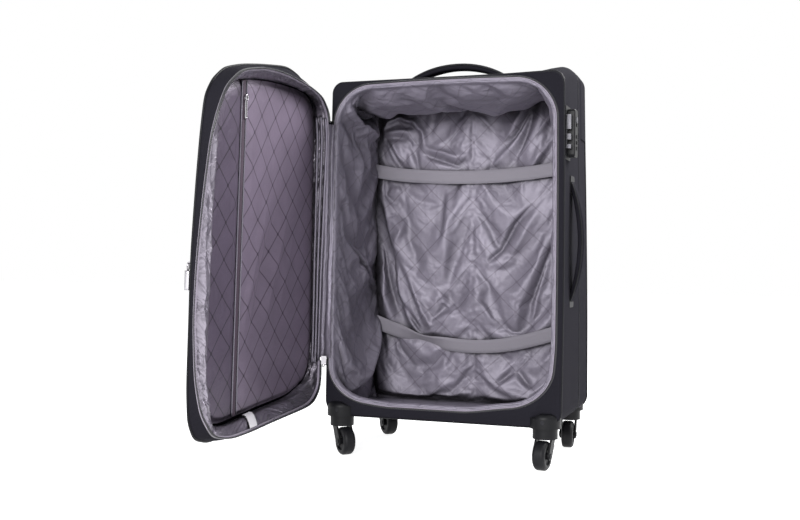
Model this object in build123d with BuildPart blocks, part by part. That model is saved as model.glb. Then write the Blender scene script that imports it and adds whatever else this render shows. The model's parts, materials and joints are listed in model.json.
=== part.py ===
from build123d import *
import os

os.makedirs("parts", exist_ok=True)

# A soft-sided suitcase on four casters, standing with its lid open. Millimetres.
# The origin is on the floor, midway between the casters: +X right, -Y front, +Z up.

# Case body
case_width = 430
case_height = 603
case_depth = 258
floor_gap = 71
corner_radius = 28
fabric = 2.0
board = 2.5
cloth = 1.2
seat = 0.1
rim_thickness = 4
piping_width = 4
piping_proud = 1.5
back_thickness = 4

# Opening in the front
side_border = 8
top_border = 5
bottom_border = 22
opening_radius = 68
zip_width = 6
zip_thickness = 1.5

# Lining and tie straps
lining_off_back = 32
strap_width = 26
strap_thickness = 1.5
strap_end_gap = 0.3
strap_off_lining = 8
upper_strap_off_top = 148
lower_strap_height = 145

# Carry handles
handle_thickness = 12
handle_round = 4
anchor_length = 30
anchor_thickness = 3
anchor_round = 6
anchor_margin = 4
top_handle_span = 186
top_handle_rise = 37
top_handle_width = 32
side_handle_span = 200
side_handle_rise = 17
side_handle_width = 30
side_handle_inward = 83
side_handle_height = 317

# Lock on the right side
lock_inward = 33
lock_off_top = 100.5
lock_plate_width = 45
lock_plate_height = 92
lock_plate_thickness = 1.5
lock_plate_shift = 9.5
receiver_depth = 10
receiver_height = 58
receiver_rise = 7.7
notch_height = 8
notch_floor = 1.0
notch_offsets = (1.5, -16.5)
housing_depth = 29
housing_height = 82
housing_rise = 13.3
dial_radius = 6
dial_width = 5.8
dial_proud = 1.5
dial_spacing = 10
dial_offset = -16
dial_gap = 0.3
dial_grooves = 10
dial_groove_radius = 0.7
shaft_radius = 1.5
shaft_length = 40
shaft_clearance = 0.05
release_width = 10
release_length = 11
release_height = 3.7
release_travel = 6
release_offset = 20
release_recess = 2.6

# Telescopic trolley
trolley_off_back = 20
tube_spread = 80
tube_width = 22
tube_depth = 13
tube_wall = 1.2
tube_round = 4.5
tube_gap = 0.3
cup_width = 200
cup_depth = 20
cup_height = 28
cup_flange_width = 208
cup_flange_depth = 23
cup_flange = 3
bracket_width = 200
bracket_depth = 21
bracket_height = 20
bracket_floor = 6
stage_lift = 16
grip_length = 192
grip_depth = 20
grip_height = 15
grip_round = 4
grip_leg_width = 24
grip_leg_depth = 15
grip_leg_height = 14
grip_socket = 20
button_length = 30
button_width = 10
button_proud = 2.5
button_sunk = 5
button_travel = 3

# Side feet on the left, and guards on the back corners
foot_radius = 9
foot_height = 7
foot_round = 2
foot_off_back = (139, 39)
foot_off_bottom = 79
foot_off_top = 134
guard_thickness = 1.5
guard_length = 60
guard_reach = 60
guard_drop = 100

# Fabric hinge of the lid, modelled as a rod on the line that it folds about
hinge_radius = 2
hinge_gap = 0.3
hinge_tilt = 4.2
hinge_height = 315
hinge_below = 212
hinge_off_top = 77
lid_open = 85.5

# Lid
lid_bottom = 17
lid_off_top = 1
lid_radius = 70
lid_off_zip = 1.0
lid_zip_width = 8
lid_depth = 33
lid_panel_thickness = 14
lid_panel_round = 3
front_pocket_side_border = 22
front_pocket_end_border = 11.5
front_pocket_thickness = 8
front_pocket_radius = 55
front_pocket_round = 5
front_pocket_shift = -14

# Zip sliders and pulls
slider_width = 9
slider_length = 11
slider_height = 3
slider_round = 2
ear_thickness = 1.6
ear_length = 4
ear_height = 4.6
ear_spread = 3.2
pin_radius = 1.0
pin_clearance = 0.08
pin_offset = -2
pin_rise = 2.7
eye_radius = 2.4
eye_width = 4
neck_width = 3.4
pull_width = 7
pull_start = 3.4
pull_thickness = 1.4
pull_round = 1.5
slider_gap = 0.3
main_slider_off_wall = 1.6
upper_slider_inward = -1
lower_slider_inward = 8
main_slider_clear = 9
main_pull_length = 34
pocket_zip_reach = 318
pocket_slider_off_top = 56
pocket_pull_length = 32
front_zip_border = 7
front_slider_height = 306
front_pull_length = 48

# Casters
caster_off_side = 28
caster_off_face = 14
wheel_radius = 25
wheel_width = 22
wheel_round = 6
hub_outer = 16
hub_inner = 6
hub_recess = 3
trail = 15
axle_radius = 3
axle_clearance = 0.05
axle_head_radius = 4.5
axle_head = 1.2
arm_gap = 0.8
arm_thickness = 3.5
arm_end_radius = 8
arm_half_width = 9
crown_radius = 18
crown_bottom = 54
crown_top = 58
stem_radius = 5
stem_top = 67.5
stem_clearance = 0.05
bell_radius = 21.5
bell_bottom = 52
bell_cavity_gap = 0.6
cap_radius = 27
cap_bottom = 70
cap_top = 96
cap_round = 10
cap_lid_clearance = 2.5
screw_height = 82
screw_radius = 3
screw_gap = 0.1
screw_sunk = 3
headings = {"front_left": -43.6, "front_right": -97.6, "rear_left": -45, "rear_right": -85.6}
sides = {"front_left": (-1, -1), "front_right": (1, -1), "rear_left": (-1, 1), "rear_right": (1, 1)}

# Values worked out from those above
front_y = -case_depth / 2
back_y = case_depth / 2
case_top = floor_gap + case_height
case_mid = floor_gap + case_height / 2
lining_inset = fabric + seat + board + seat
lining_depth = case_depth - lining_off_back
caster_x = case_width / 2 - caster_off_side
caster_y = case_depth / 2 - caster_off_face
lid_width = case_width
lid_top = case_height - lid_off_top
up = Vector(0, 0, 1)


def save(piece, name):
    """Label a finished piece and write it."""
    piece.part.label = name
    export_step(piece.part, f"parts/{name}.step")


def case_plane(inward):
    """A plane facing the front, the given distance behind the front face."""
    return Plane(origin=(0, front_y + inward, case_mid), x_dir=(1, 0, 0), z_dir=(0, -1, 0))


def case_outline(grow):
    """Draw the outline of the case, grown by the given distance, in the active sketch."""
    RectangleRounded(case_width + 2 * grow, case_height + 2 * grow, corner_radius + grow)


def band(width, height, radius, wall):
    """Draw a rounded rectangular band in the active sketch."""
    RectangleRounded(width, height, radius)
    RectangleRounded(width - 2 * wall, height - 2 * wall, radius - wall, mode=Mode.SUBTRACT)


def case_band(inset, wall):
    """Draw one layer of the case wall in the active sketch."""
    band(case_width - 2 * inset, case_height - 2 * inset, corner_radius - inset, wall)


# Front rim and its zip half
opening_width = case_width - 2 * side_border
opening_height = case_height - top_border - bottom_border
opening_shift = (bottom_border - top_border) / 2
upper_strap_height = case_height - upper_strap_off_top
lock_height = case_height - lock_off_top
hinge_above = case_height - hinge_height - hinge_off_top

with BuildPart() as front_rim:
    with BuildSketch(case_plane(0)):
        case_outline(0)
        with Locations((0, opening_shift)):
            RectangleRounded(opening_width, opening_height, opening_radius, mode=Mode.SUBTRACT)
    extrude(amount=-rim_thickness)
save(front_rim, "front_rim")

zip_margin = top_border - 1
with BuildPart() as body_zip:
    with BuildSketch(case_plane(-seat)):
        with Locations((0, opening_shift)):
            band(
                opening_width + 2 * zip_margin,
                opening_height + 2 * zip_margin,
                opening_radius + zip_margin,
                zip_width,
            )
    extrude(amount=zip_thickness)
save(body_zip, "body_zip")

# Piping round the front and back edges
piping_starts = (rim_thickness + seat, case_depth - back_thickness - seat - piping_width)
with BuildPart() as edge_piping:
    for start in piping_starts:
        with BuildSketch(case_plane(start)):
            case_band(-piping_proud, piping_proud + fabric)
        extrude(amount=-piping_width)
save(edge_piping, "edge_piping")

# Back panel
with BuildPart() as back_panel:
    with BuildSketch(case_plane(case_depth - back_thickness)):
        case_outline(0)
    extrude(amount=-back_thickness)
save(back_panel, "back_panel")

# Gusset and its stiffener board, both cut out for the trolley's top cup
trolley_y = back_y - trolley_off_back
gusset_start = piping_starts[0] + piping_width + seat
gusset_length = piping_starts[1] - seat - gusset_start
board_start = rim_thickness + seat
board_length = case_depth - back_thickness - seat - board_start


def cut_cup_hole():
    """Cut the hole for the trolley's top cup from the active part."""
    with Locations((0, trolley_y, case_top)):
        Box(cup_width + 2 * tube_gap, cup_depth + 2 * tube_gap, cup_height, mode=Mode.SUBTRACT)


with BuildPart() as side_gusset:
    with BuildSketch(case_plane(gusset_start)):
        case_band(0, fabric)
    extrude(amount=-gusset_length)
    cut_cup_hole()
save(side_gusset, "side_gusset")

with BuildPart() as gusset_board:
    with BuildSketch(case_plane(board_start)):
        case_band(fabric + seat, board)
    extrude(amount=-board_length)
    cut_cup_hole()
save(gusset_board, "gusset_board")

# Lining: the walls, and the back sheet that hangs in front of the trolley tubes
with BuildPart() as body_lining:
    with BuildSketch(case_plane(board_start)):
        case_band(lining_inset, cloth)
    extrude(amount=board_start - lining_depth - cloth)
save(body_lining, "body_lining")

sheet_inset = lining_inset + cloth + seat
with BuildPart() as lining_back:
    with BuildSketch(case_plane(lining_depth)):
        case_outline(-sheet_inset)
    extrude(amount=-cloth)
save(lining_back, "lining_back")

strap_y = front_y + lining_depth - strap_off_lining
strap_length = case_width - 2 * (lining_inset + cloth + strap_end_gap)
with BuildPart() as tie_straps:
    for height in (upper_strap_height, lower_strap_height):
        with Locations((0, strap_y, floor_gap + height)):
            Box(strap_length, strap_thickness, strap_width)
save(tie_straps, "tie_straps")

# Carry handles on their end plates
handle_base = seat + anchor_thickness + seat
side_handle_y = front_y + side_handle_inward
side_handle_z = floor_gap + side_handle_height


def carry_handle(plane, span, rise, width):
    """A padded handle: an arch that stands on the plane's x axis."""
    radius = (span**2 / 4 + rise**2) / (2 * rise)
    with BuildPart() as handle:
        with BuildSketch(plane):
            with Locations((0, rise - radius)):
                Circle(radius + handle_thickness / 2)
                Circle(radius - handle_thickness / 2, mode=Mode.SUBTRACT)
            with Locations((0, -radius)):
                Rectangle(4 * radius, 2 * radius, mode=Mode.SUBTRACT)
        extrude(amount=width / 2, both=True)
        fillet(handle.edges().filter_by(GeomType.CIRCLE), handle_round)
    return handle


top_handle_plane = Plane(origin=(0, 0, case_top + handle_base), x_dir=(1, 0, 0), z_dir=(0, -1, 0))
side_handle_plane = Plane(
    origin=(case_width / 2 + handle_base, side_handle_y, side_handle_z),
    x_dir=(0, 0, 1),
    z_dir=(0, 1, 0),
)
top_handle = carry_handle(top_handle_plane, top_handle_span, top_handle_rise, top_handle_width)
save(top_handle, "top_handle")
side_handle = carry_handle(side_handle_plane, side_handle_span, side_handle_rise, side_handle_width)
save(side_handle, "side_handle")

top_anchor_plane = Plane(origin=(0, 0, case_top + seat), x_dir=(1, 0, 0), z_dir=(0, 0, 1))
side_anchor_plane = Plane(
    origin=(case_width / 2 + seat, side_handle_y, side_handle_z),
    x_dir=(0, 0, 1),
    z_dir=(1, 0, 0),
)
anchor_sets = (
    (top_anchor_plane, top_handle_span, top_handle_width),
    (side_anchor_plane, side_handle_span, side_handle_width),
)
with BuildPart() as handle_anchors:
    for plane, span, width in anchor_sets:
        with BuildSketch(plane):
            with Locations((-span / 2, 0), (span / 2, 0)):
                RectangleRounded(anchor_length, width + 2 * anchor_margin, anchor_round)
        extrude(amount=anchor_thickness)
save(handle_anchors, "handle_anchors")

# Lock: local x runs backwards along the side, local y up, the normal outwards
lock_plane = Plane(
    origin=(case_width / 2 + seat, front_y + lock_inward, floor_gap + lock_height),
    x_dir=(0, 1, 0),
    z_dir=(1, 0, 0),
)
lock_floor = lock_plate_thickness + seat
housing_centre = seat + housing_depth / 2
housing_face = lock_floor + housing_rise
shaft_rise = housing_face + dial_proud - dial_radius

with BuildPart() as lock_base:
    with BuildSketch(lock_plane):
        with Locations((lock_plate_shift, 0)):
            RectangleRounded(lock_plate_width, lock_plate_height, 4)
    extrude(amount=lock_plate_thickness)
save(lock_base, "lock_base")

with BuildPart() as lock_receiver:
    with BuildSketch(lock_plane.offset(lock_floor)):
        with Locations((-receiver_depth / 2, notch_offsets[0])):
            Rectangle(receiver_depth, receiver_height)
    extrude(amount=receiver_rise)
    with BuildSketch(lock_plane.offset(lock_floor + notch_floor)):
        for offset in notch_offsets:
            with Locations((-receiver_depth / 2, offset)):
                Rectangle(receiver_depth, notch_height)
    extrude(amount=receiver_rise, mode=Mode.SUBTRACT)
save(lock_receiver, "lock_receiver")

dial_offsets = [dial_offset + step * dial_spacing for step in (-1, 0, 1)]
with BuildPart() as lock_housing:
    with BuildSketch(lock_plane.offset(lock_floor)):
        with Locations((housing_centre, 0)):
            RectangleRounded(housing_depth, housing_height, 5)
    extrude(amount=housing_rise)
    fillet(lock_housing.faces().sort_by(Axis.X)[-1].edges(), 2)
    with BuildSketch(lock_plane.offset(shaft_rise - dial_radius - dial_gap)):
        for offset in dial_offsets:
            with Locations((housing_centre, offset)):
                Rectangle(2 * (dial_radius + dial_gap), dial_width + 2 * dial_gap)
    extrude(amount=housing_rise, mode=Mode.SUBTRACT)
    with BuildSketch(lock_plane.offset(housing_face - release_recess)):
        with Locations((housing_centre, release_offset)):
            Rectangle(release_width + 2 * dial_gap, release_length + release_travel + 2 * dial_gap)
    extrude(amount=housing_rise, mode=Mode.SUBTRACT)
    with Locations(Location(lock_plane.from_local_coords((housing_centre, dial_offset, shaft_rise)))):
        Cylinder(shaft_radius + shaft_clearance, shaft_length, mode=Mode.SUBTRACT)
save(lock_housing, "lock_housing")

with BuildPart() as lock_dial_shaft:
    with Locations(Location(lock_plane.from_local_coords((housing_centre, dial_offset, shaft_rise)))):
        Cylinder(shaft_radius, shaft_length)
save(lock_dial_shaft, "lock_dial_shaft")

for number, offset in enumerate(reversed(dial_offsets), start=1):
    dial_base = lock_plane.from_local_coords((housing_centre, offset - dial_width / 2, shaft_rise))
    with BuildPart() as lock_dial:
        with BuildSketch(Plane(origin=dial_base, z_dir=up)):
            Circle(dial_radius)
            Circle(shaft_radius + shaft_clearance, mode=Mode.SUBTRACT)
            with PolarLocations(dial_radius, dial_grooves):
                Circle(dial_groove_radius, mode=Mode.SUBTRACT)
        extrude(amount=dial_width)
    save(lock_dial, f"lock_dial_{number}")

with BuildPart() as lock_release:
    with BuildSketch(lock_plane.offset(housing_face - release_recess + dial_gap)):
        with Locations((housing_centre, release_offset + release_travel / 2)):
            RectangleRounded(release_width, release_length, 2)
    extrude(amount=release_height)
save(lock_release, "lock_release")


# Trolley
def tube_pair(layer, bottom, top):
    """Two trolley tubes, layer steps inside the outer pair."""
    inset = layer * (tube_wall + tube_gap)
    width = tube_width - 2 * inset
    depth = tube_depth - 2 * inset
    radius = tube_round - inset
    with BuildPart() as tubes:
        with BuildSketch(Plane.XY.offset(bottom)):
            with Locations((-tube_spread, trolley_y), (tube_spread, trolley_y)):
                RectangleRounded(width, depth, radius)
                RectangleRounded(width - 2 * tube_wall, depth - 2 * tube_wall, radius - tube_wall, mode=Mode.SUBTRACT)
        extrude(amount=top - bottom)
    return tubes


def cut_tube_holes(layer, clearance, bottom, top):
    """Cut room for the tubes of one layer from the active part."""
    inset = layer * (tube_wall + tube_gap) - clearance
    with BuildSketch(Plane.XY.offset(bottom)) as holes:
        with Locations((-tube_spread, trolley_y), (tube_spread, trolley_y)):
            RectangleRounded(tube_width - 2 * inset, tube_depth - 2 * inset, tube_round - inset)
    extrude(holes.sketch, amount=top - bottom, mode=Mode.SUBTRACT)


cup_bottom = case_top - cup_height
flange_bottom = case_top + seat
flange_top = flange_bottom + cup_flange
bracket_bottom = floor_gap + lining_inset + seat
tube_bottom = bracket_bottom + bracket_floor + seat
grip_bottom = flange_top + tube_gap
bar_bottom = grip_bottom + grip_leg_height
grip_top = bar_bottom + grip_height

with BuildPart() as trolley_top_cup:
    with BuildSketch(Plane.XY.offset(cup_bottom)):
        with Locations((0, trolley_y)):
            Rectangle(cup_width, cup_depth)
    extrude(amount=flange_bottom - cup_bottom)
    with BuildSketch(Plane.XY.offset(flange_bottom)):
        with Locations((0, trolley_y)):
            RectangleRounded(cup_flange_width, cup_flange_depth, 8)
    extrude(amount=cup_flange)
    cut_tube_holes(1, tube_gap, cup_bottom, flange_top)
save(trolley_top_cup, "trolley_top_cup")

with BuildPart() as trolley_foot_bracket:
    with BuildSketch(Plane.XY.offset(bracket_bottom)):
        with Locations((0, trolley_y)):
            Rectangle(bracket_width, bracket_depth)
    extrude(amount=bracket_height)
    cut_tube_holes(0, seat, bracket_bottom + bracket_floor, bracket_bottom + bracket_height)
save(trolley_foot_bracket, "trolley_foot_bracket")

outer_tubes = tube_pair(0, tube_bottom, cup_bottom - seat)
save(outer_tubes, "trolley_outer_tubes")
middle_tubes = tube_pair(1, tube_bottom + stage_lift, flange_top - seat)
save(middle_tubes, "trolley_middle_tubes")
inner_tubes = tube_pair(2, tube_bottom + 2 * stage_lift, grip_bottom + grip_socket - seat)
save(inner_tubes, "trolley_inner_tubes")

with BuildPart() as trolley_grip:
    with BuildSketch(Plane.XY.offset(bar_bottom)):
        with Locations((0, trolley_y)):
            RectangleRounded(grip_length, grip_depth, 9)
    extrude(amount=grip_height)
    fillet(trolley_grip.edges().filter_by(Plane.XY), grip_round)
    with BuildSketch(Plane.XY.offset(grip_bottom)):
        with Locations((-tube_spread, trolley_y), (tube_spread, trolley_y)):
            RectangleRounded(grip_leg_width, grip_leg_depth, 5)
    extrude(amount=grip_leg_height + grip_round)
    cut_tube_holes(2, seat, grip_bottom, grip_bottom + grip_socket)
    with BuildSketch(Plane.XY.offset(grip_top - button_sunk - button_travel - tube_gap)):
        with Locations((0, trolley_y)):
            RectangleRounded(button_length + 2 * tube_gap, button_width + 2 * tube_gap, 4)
    extrude(amount=grip_height, mode=Mode.SUBTRACT)
save(trolley_grip, "trolley_grip")

with BuildPart() as trolley_button:
    with BuildSketch(Plane.XY.offset(grip_top - button_sunk)):
        with Locations((0, trolley_y)):
            RectangleRounded(button_length, button_width, 4)
    extrude(amount=button_sunk + button_proud)
    fillet(trolley_button.faces().sort_by(Axis.Z)[-1].edges(), 1.2)
save(trolley_button, "trolley_button")

# Side feet
foot_levels = (floor_gap + foot_off_bottom, case_top - foot_off_top)
with BuildPart() as side_feet:
    for off_back in foot_off_back:
        for foot_z in foot_levels:
            foot_centre = (-case_width / 2 - seat, back_y - off_back, foot_z)
            with BuildSketch(Plane(origin=foot_centre, x_dir=(0, -1, 0), z_dir=(-1, 0, 0))):
                Circle(foot_radius)
            extrude(amount=foot_height)
    fillet(side_feet.faces().group_by(Axis.X)[0].edges(), foot_round)
save(side_feet, "side_feet")

# Guards over the two upper corners at the back
guard_start = piping_starts[1] - seat - guard_length
with BuildPart() as corner_guards:
    with BuildSketch(case_plane(guard_start)):
        case_band(-seat - guard_thickness, guard_thickness)
    extrude(amount=-guard_length)
    with Locations((0, front_y + guard_start + guard_length / 2, case_mid)):
        Box(case_width - 2 * guard_reach, 2 * guard_length, 2 * case_height, mode=Mode.SUBTRACT)
    with Locations((0, front_y + guard_start + guard_length / 2, case_top - guard_drop - case_height / 2)):
        Box(2 * case_width, 2 * guard_length, case_height, mode=Mode.SUBTRACT)
save(corner_guards, "corner_guards")

# Lid hinge: the line leans forward at the top, so that the opened lid droops and leans out
hinge_direction = up.rotate(Axis.X, hinge_tilt)
hinge_point = Vector(
    -(case_width / 2 + piping_proud + hinge_gap + hinge_radius),
    front_y - seat - zip_thickness - lid_off_zip,
    floor_gap + hinge_height,
)
with BuildPart() as lid_hinge:
    with BuildSketch(Plane(origin=hinge_point - hinge_direction * hinge_below, z_dir=hinge_direction)):
        Circle(hinge_radius)
    extrude(amount=hinge_below + hinge_above)
save(lid_hinge, "lid_hinge")

# Lid, built in its open position: local x runs from the hinge to the free edge, local y up,
# and the normal points to the outside of the lid
hinge_turn = Axis((0, 0, 0), hinge_direction)
lid_x = Vector(1, 0, 0).rotate(hinge_turn, -lid_open)
lid_out = Vector(0, -1, 0).rotate(hinge_turn, -lid_open)
lid_up = lid_out.cross(lid_x)
lid_height = lid_top - lid_bottom
front_pocket_width = lid_width - 2 * front_pocket_side_border
front_pocket_height = lid_height - 2 * front_pocket_end_border
lid_centre_x = hinge_radius + hinge_gap + lid_width / 2
lid_centre_y = (lid_top + lid_bottom) / 2 - hinge_height
lid_centre = hinge_point + lid_x * lid_centre_x + lid_up * lid_centre_y
lid_plane = Plane(origin=lid_centre, x_dir=lid_x, z_dir=lid_out)

with BuildPart() as lid_zip:
    with BuildSketch(lid_plane):
        band(lid_width, lid_height, lid_radius, fabric)
    extrude(amount=lid_zip_width)
save(lid_zip, "lid_zip")

with BuildPart() as lid_gusset:
    with BuildSketch(lid_plane.offset(lid_zip_width + seat)):
        band(lid_width, lid_height, lid_radius, fabric)
    extrude(amount=lid_depth - lid_zip_width - seat)
save(lid_gusset, "lid_gusset")

lid_lining_inset = fabric + seat
lid_lining_floor = lid_depth - seat - cloth
with BuildPart() as lid_lining:
    with BuildSketch(lid_plane.offset(seat)):
        band(
            lid_width - 2 * lid_lining_inset,
            lid_height - 2 * lid_lining_inset,
            lid_radius - lid_lining_inset,
            cloth,
        )
    extrude(amount=lid_lining_floor)
    with BuildSketch(lid_plane.offset(lid_lining_floor)):
        RectangleRounded(
            lid_width - 2 * lid_lining_inset,
            lid_height - 2 * lid_lining_inset,
            lid_radius - lid_lining_inset,
        )
    extrude(amount=cloth)
save(lid_lining, "lid_lining")

panel_face = lid_depth + seat + lid_panel_thickness
with BuildPart() as lid_panel:
    with BuildSketch(lid_plane.offset(lid_depth + seat)):
        RectangleRounded(lid_width, lid_height, lid_radius)
    extrude(amount=lid_panel_thickness)
    fillet(lid_panel.faces().sort_by(Axis(lid_centre, lid_out))[-1].edges(), lid_panel_round)
save(lid_panel, "lid_panel")

with BuildPart() as front_pocket:
    with BuildSketch(lid_plane.offset(panel_face + seat)):
        with Locations((front_pocket_shift, 0)):
            RectangleRounded(front_pocket_width, front_pocket_height, front_pocket_radius)
    extrude(amount=front_pocket_thickness)
    fillet(front_pocket.faces().sort_by(Axis(lid_centre, lid_out))[-1].edges(), front_pocket_round)
save(front_pocket, "front_pocket")

# Zip sliders: local x across the zip, local y along it and up, the normal away from the tape
pin_height = slider_gap + slider_height + pin_rise


def zip_slider(plane):
    """A slider with two ears and a pin for its pull."""
    with BuildPart() as slider:
        with BuildSketch(plane.offset(slider_gap)):
            RectangleRounded(slider_width, slider_length, slider_round)
        extrude(amount=slider_height)
        with BuildSketch(plane.offset(slider_gap + slider_height)):
            with Locations((-ear_spread, pin_offset), (ear_spread, pin_offset)):
                Rectangle(ear_thickness, ear_length)
        extrude(amount=ear_height)
        pin_start = plane.from_local_coords((-ear_spread, pin_offset, pin_height))
        with BuildSketch(Plane(origin=pin_start, z_dir=plane.x_dir)):
            Circle(pin_radius)
        extrude(amount=2 * ear_spread)
    return slider


def zip_pull(plane, length):
    """A pull tab with an eye round the slider's pin, hanging down."""
    with BuildPart() as pull:
        eye_start = plane.from_local_coords((-eye_width / 2, pin_offset, pin_height))
        with BuildSketch(plane.offset(pin_height - pull_thickness / 2)):
            with Locations((0, pin_offset - pull_start)):
                Rectangle(neck_width, pull_start, align=(Align.CENTER, Align.MIN))
            with Locations((0, pin_offset - (pull_start + length) / 2)):
                RectangleRounded(pull_width, length - pull_start, pull_round)
        extrude(amount=pull_thickness)
        with BuildSketch(Plane(origin=eye_start, z_dir=plane.x_dir)):
            Circle(eye_radius)
        extrude(amount=eye_width)
        with BuildSketch(Plane(origin=eye_start, z_dir=plane.x_dir)):
            Circle(pin_radius + pin_clearance)
        extrude(amount=eye_width, mode=Mode.SUBTRACT)
    return pull


def lid_spot(reach, height, rise):
    """A point of the lid: reach from the hinge line, height above the case bottom, rise outwards."""
    return hinge_point + lid_x * reach + lid_up * (height - hinge_height) + lid_out * rise


def main_slider_plane(inward, height):
    """The plane of a main zip slider on the outside of the left wall."""
    origin = (
        -(case_width / 2 + main_slider_off_wall),
        front_y + inward,
        floor_gap + height,
    )
    return Plane(origin=origin, x_dir=(0, -1, 0), z_dir=(-1, 0, 0))


upper_slider_plane = main_slider_plane(upper_slider_inward, hinge_height + hinge_above + main_slider_clear)
lower_slider_plane = main_slider_plane(lower_slider_inward, hinge_height - hinge_below - main_slider_clear)
pocket_slider_plane = Plane(
    origin=lid_spot(pocket_zip_reach, lid_top - pocket_slider_off_top, lid_lining_floor),
    x_dir=lid_x * -1,
    z_dir=lid_out * -1,
)
front_slider_plane = Plane(
    origin=lid_spot(hinge_radius + hinge_gap + lid_width - front_zip_border, front_slider_height, panel_face),
    x_dir=lid_x,
    z_dir=lid_out,
)
zip_sets = {
    "upper_main": (upper_slider_plane, main_pull_length),
    "lower_main": (lower_slider_plane, main_pull_length),
    "lid_pocket": (pocket_slider_plane, pocket_pull_length),
    "front_pocket": (front_slider_plane, front_pull_length),
}
for zip_name, (plane, length) in zip_sets.items():
    slider_piece = zip_slider(plane)
    save(slider_piece, f"{zip_name}_slider")
    pull_piece = zip_pull(plane, length)
    save(pull_piece, f"{zip_name}_pull")

# Casters: a housing fixed to the case, a fork that swivels in it, an axle and a wheel
arm_inner = wheel_width / 2 + arm_gap
arm_outer = arm_inner + arm_thickness
closed_lid_centre = (0, front_y, floor_gap + (lid_top + lid_bottom) / 2)
arm_points = [
    (-arm_half_width, crown_bottom + 2),
    (arm_half_width, crown_bottom + 2),
    (arm_half_width, bell_bottom - 0.5),
    (trail + arm_end_radius - 0.5, wheel_radius + 3),
    (trail - arm_end_radius + 1, wheel_radius - 5),
    (-arm_half_width, bell_bottom - 0.5),
]


def screw_plane(centre, side_y):
    """The plane of a housing screw's head, facing away from the case."""
    return Plane(
        origin=(centre.X, centre.Y + side_y * (cap_radius - screw_sunk), screw_height),
        x_dir=(1, 0, 0),
        z_dir=(0, side_y, 0),
    )


for corner, (side_x, side_y) in sides.items():
    centre = Vector(side_x * caster_x, side_y * caster_y, 0)
    ground = Plane(origin=centre)

    with BuildPart() as wheel_housing:
        with BuildSketch(ground.offset(cap_bottom)):
            Circle(cap_radius)
        extrude(amount=cap_top - cap_bottom)
        fillet(wheel_housing.faces().sort_by(Axis.Z)[-1].edges(), cap_round)
        with BuildSketch(ground.offset(bell_bottom)):
            Circle(bell_radius)
        extrude(amount=cap_bottom - bell_bottom)
        with BuildSketch(case_plane(0)):
            case_outline(seat)
        extrude(amount=seat)
        with BuildSketch(case_plane(-seat)):
            case_outline(seat)
        extrude(amount=-case_depth - 2 * seat, mode=Mode.SUBTRACT)
        for start in piping_starts:
            with BuildSketch(case_plane(start - seat)):
                case_outline(piping_proud + seat)
            extrude(amount=-piping_width - 2 * seat, mode=Mode.SUBTRACT)
        with BuildSketch(Plane(origin=closed_lid_centre, x_dir=(1, 0, 0), z_dir=(0, -1, 0))):
            RectangleRounded(
                lid_width + 2 * cap_lid_clearance,
                lid_height + 2 * cap_lid_clearance,
                lid_radius + cap_lid_clearance,
            )
        extrude(amount=2 * cap_radius, mode=Mode.SUBTRACT)
        with BuildSketch(ground.offset(bell_bottom)):
            Circle(crown_radius + bell_cavity_gap)
        extrude(amount=crown_top + bell_cavity_gap - bell_bottom, mode=Mode.SUBTRACT)
        with BuildSketch(ground.offset(crown_top)):
            Circle(stem_radius + stem_clearance)
        extrude(amount=stem_top + bell_cavity_gap - crown_top, mode=Mode.SUBTRACT)
        with BuildSketch(screw_plane(centre, side_y)):
            Circle(screw_radius + screw_gap)
        extrude(amount=2 * cap_radius, mode=Mode.SUBTRACT)
    save(wheel_housing, f"{corner}_wheel_housing")

    trail_direction = Vector(1, 0, 0).rotate(Axis.Z, headings[corner])
    fork_plane = Plane(origin=centre, x_dir=trail_direction, z_dir=trail_direction.cross(up))

    with BuildPart() as fork:
        with BuildSketch(ground.offset(crown_bottom)):
            Circle(crown_radius)
        extrude(amount=crown_top - crown_bottom)
        with BuildSketch(ground.offset(crown_top)):
            Circle(stem_radius)
        extrude(amount=stem_top - crown_top)
        for arm_start in (arm_inner, -arm_outer):
            with BuildSketch(fork_plane.offset(arm_start)):
                with BuildLine():
                    Polyline(*arm_points, close=True)
                make_face()
                with Locations((trail, wheel_radius)):
                    Circle(arm_end_radius)
                    Circle(axle_radius, mode=Mode.SUBTRACT)
            extrude(amount=arm_thickness)
    save(fork, f"{corner}_fork")

    with BuildPart() as wheel:
        with BuildSketch(fork_plane):
            with Locations((trail, wheel_radius)):
                Circle(wheel_radius)
        extrude(amount=wheel_width / 2, both=True)
        fillet(wheel.edges(), wheel_round)
        for face in (1, -1):
            with BuildSketch(fork_plane.offset(face * wheel_width / 2)):
                with Locations((trail, wheel_radius)):
                    Circle(hub_outer)
                    Circle(hub_inner, mode=Mode.SUBTRACT)
            extrude(amount=-face * hub_recess, mode=Mode.SUBTRACT)
        with BuildSketch(fork_plane):
            with Locations((trail, wheel_radius)):
                Circle(axle_radius + axle_clearance)
        extrude(amount=wheel_width, both=True, mode=Mode.SUBTRACT)
    save(wheel, f"{corner}_wheel")

    with BuildPart() as axle:
        with BuildSketch(fork_plane):
            with Locations((trail, wheel_radius)):
                Circle(axle_radius)
        extrude(amount=arm_outer + seat, both=True)
        for face in (1, -1):
            with BuildSketch(fork_plane.offset(face * (arm_outer + seat))):
                with Locations((trail, wheel_radius)):
                    Circle(axle_head_radius)
            extrude(amount=face * axle_head)
    save(axle, f"{corner}_axle")

# Screws that hold the housings, all alike
with BuildPart() as housing_screws:
    for side_x, side_y in sides.values():
        centre = Vector(side_x * caster_x, side_y * caster_y, 0)
        with BuildSketch(screw_plane(centre, side_y)):
            Circle(screw_radius)
            Rectangle(2 * screw_radius / 1.5, 0.8, mode=Mode.SUBTRACT)
        extrude(amount=screw_sunk - screw_gap)
        with BuildSketch(screw_plane(centre, side_y)):
            Circle(screw_radius)
        extrude(amount=screw_sunk / 2)
save(housing_screws, "housing_screws")
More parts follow.
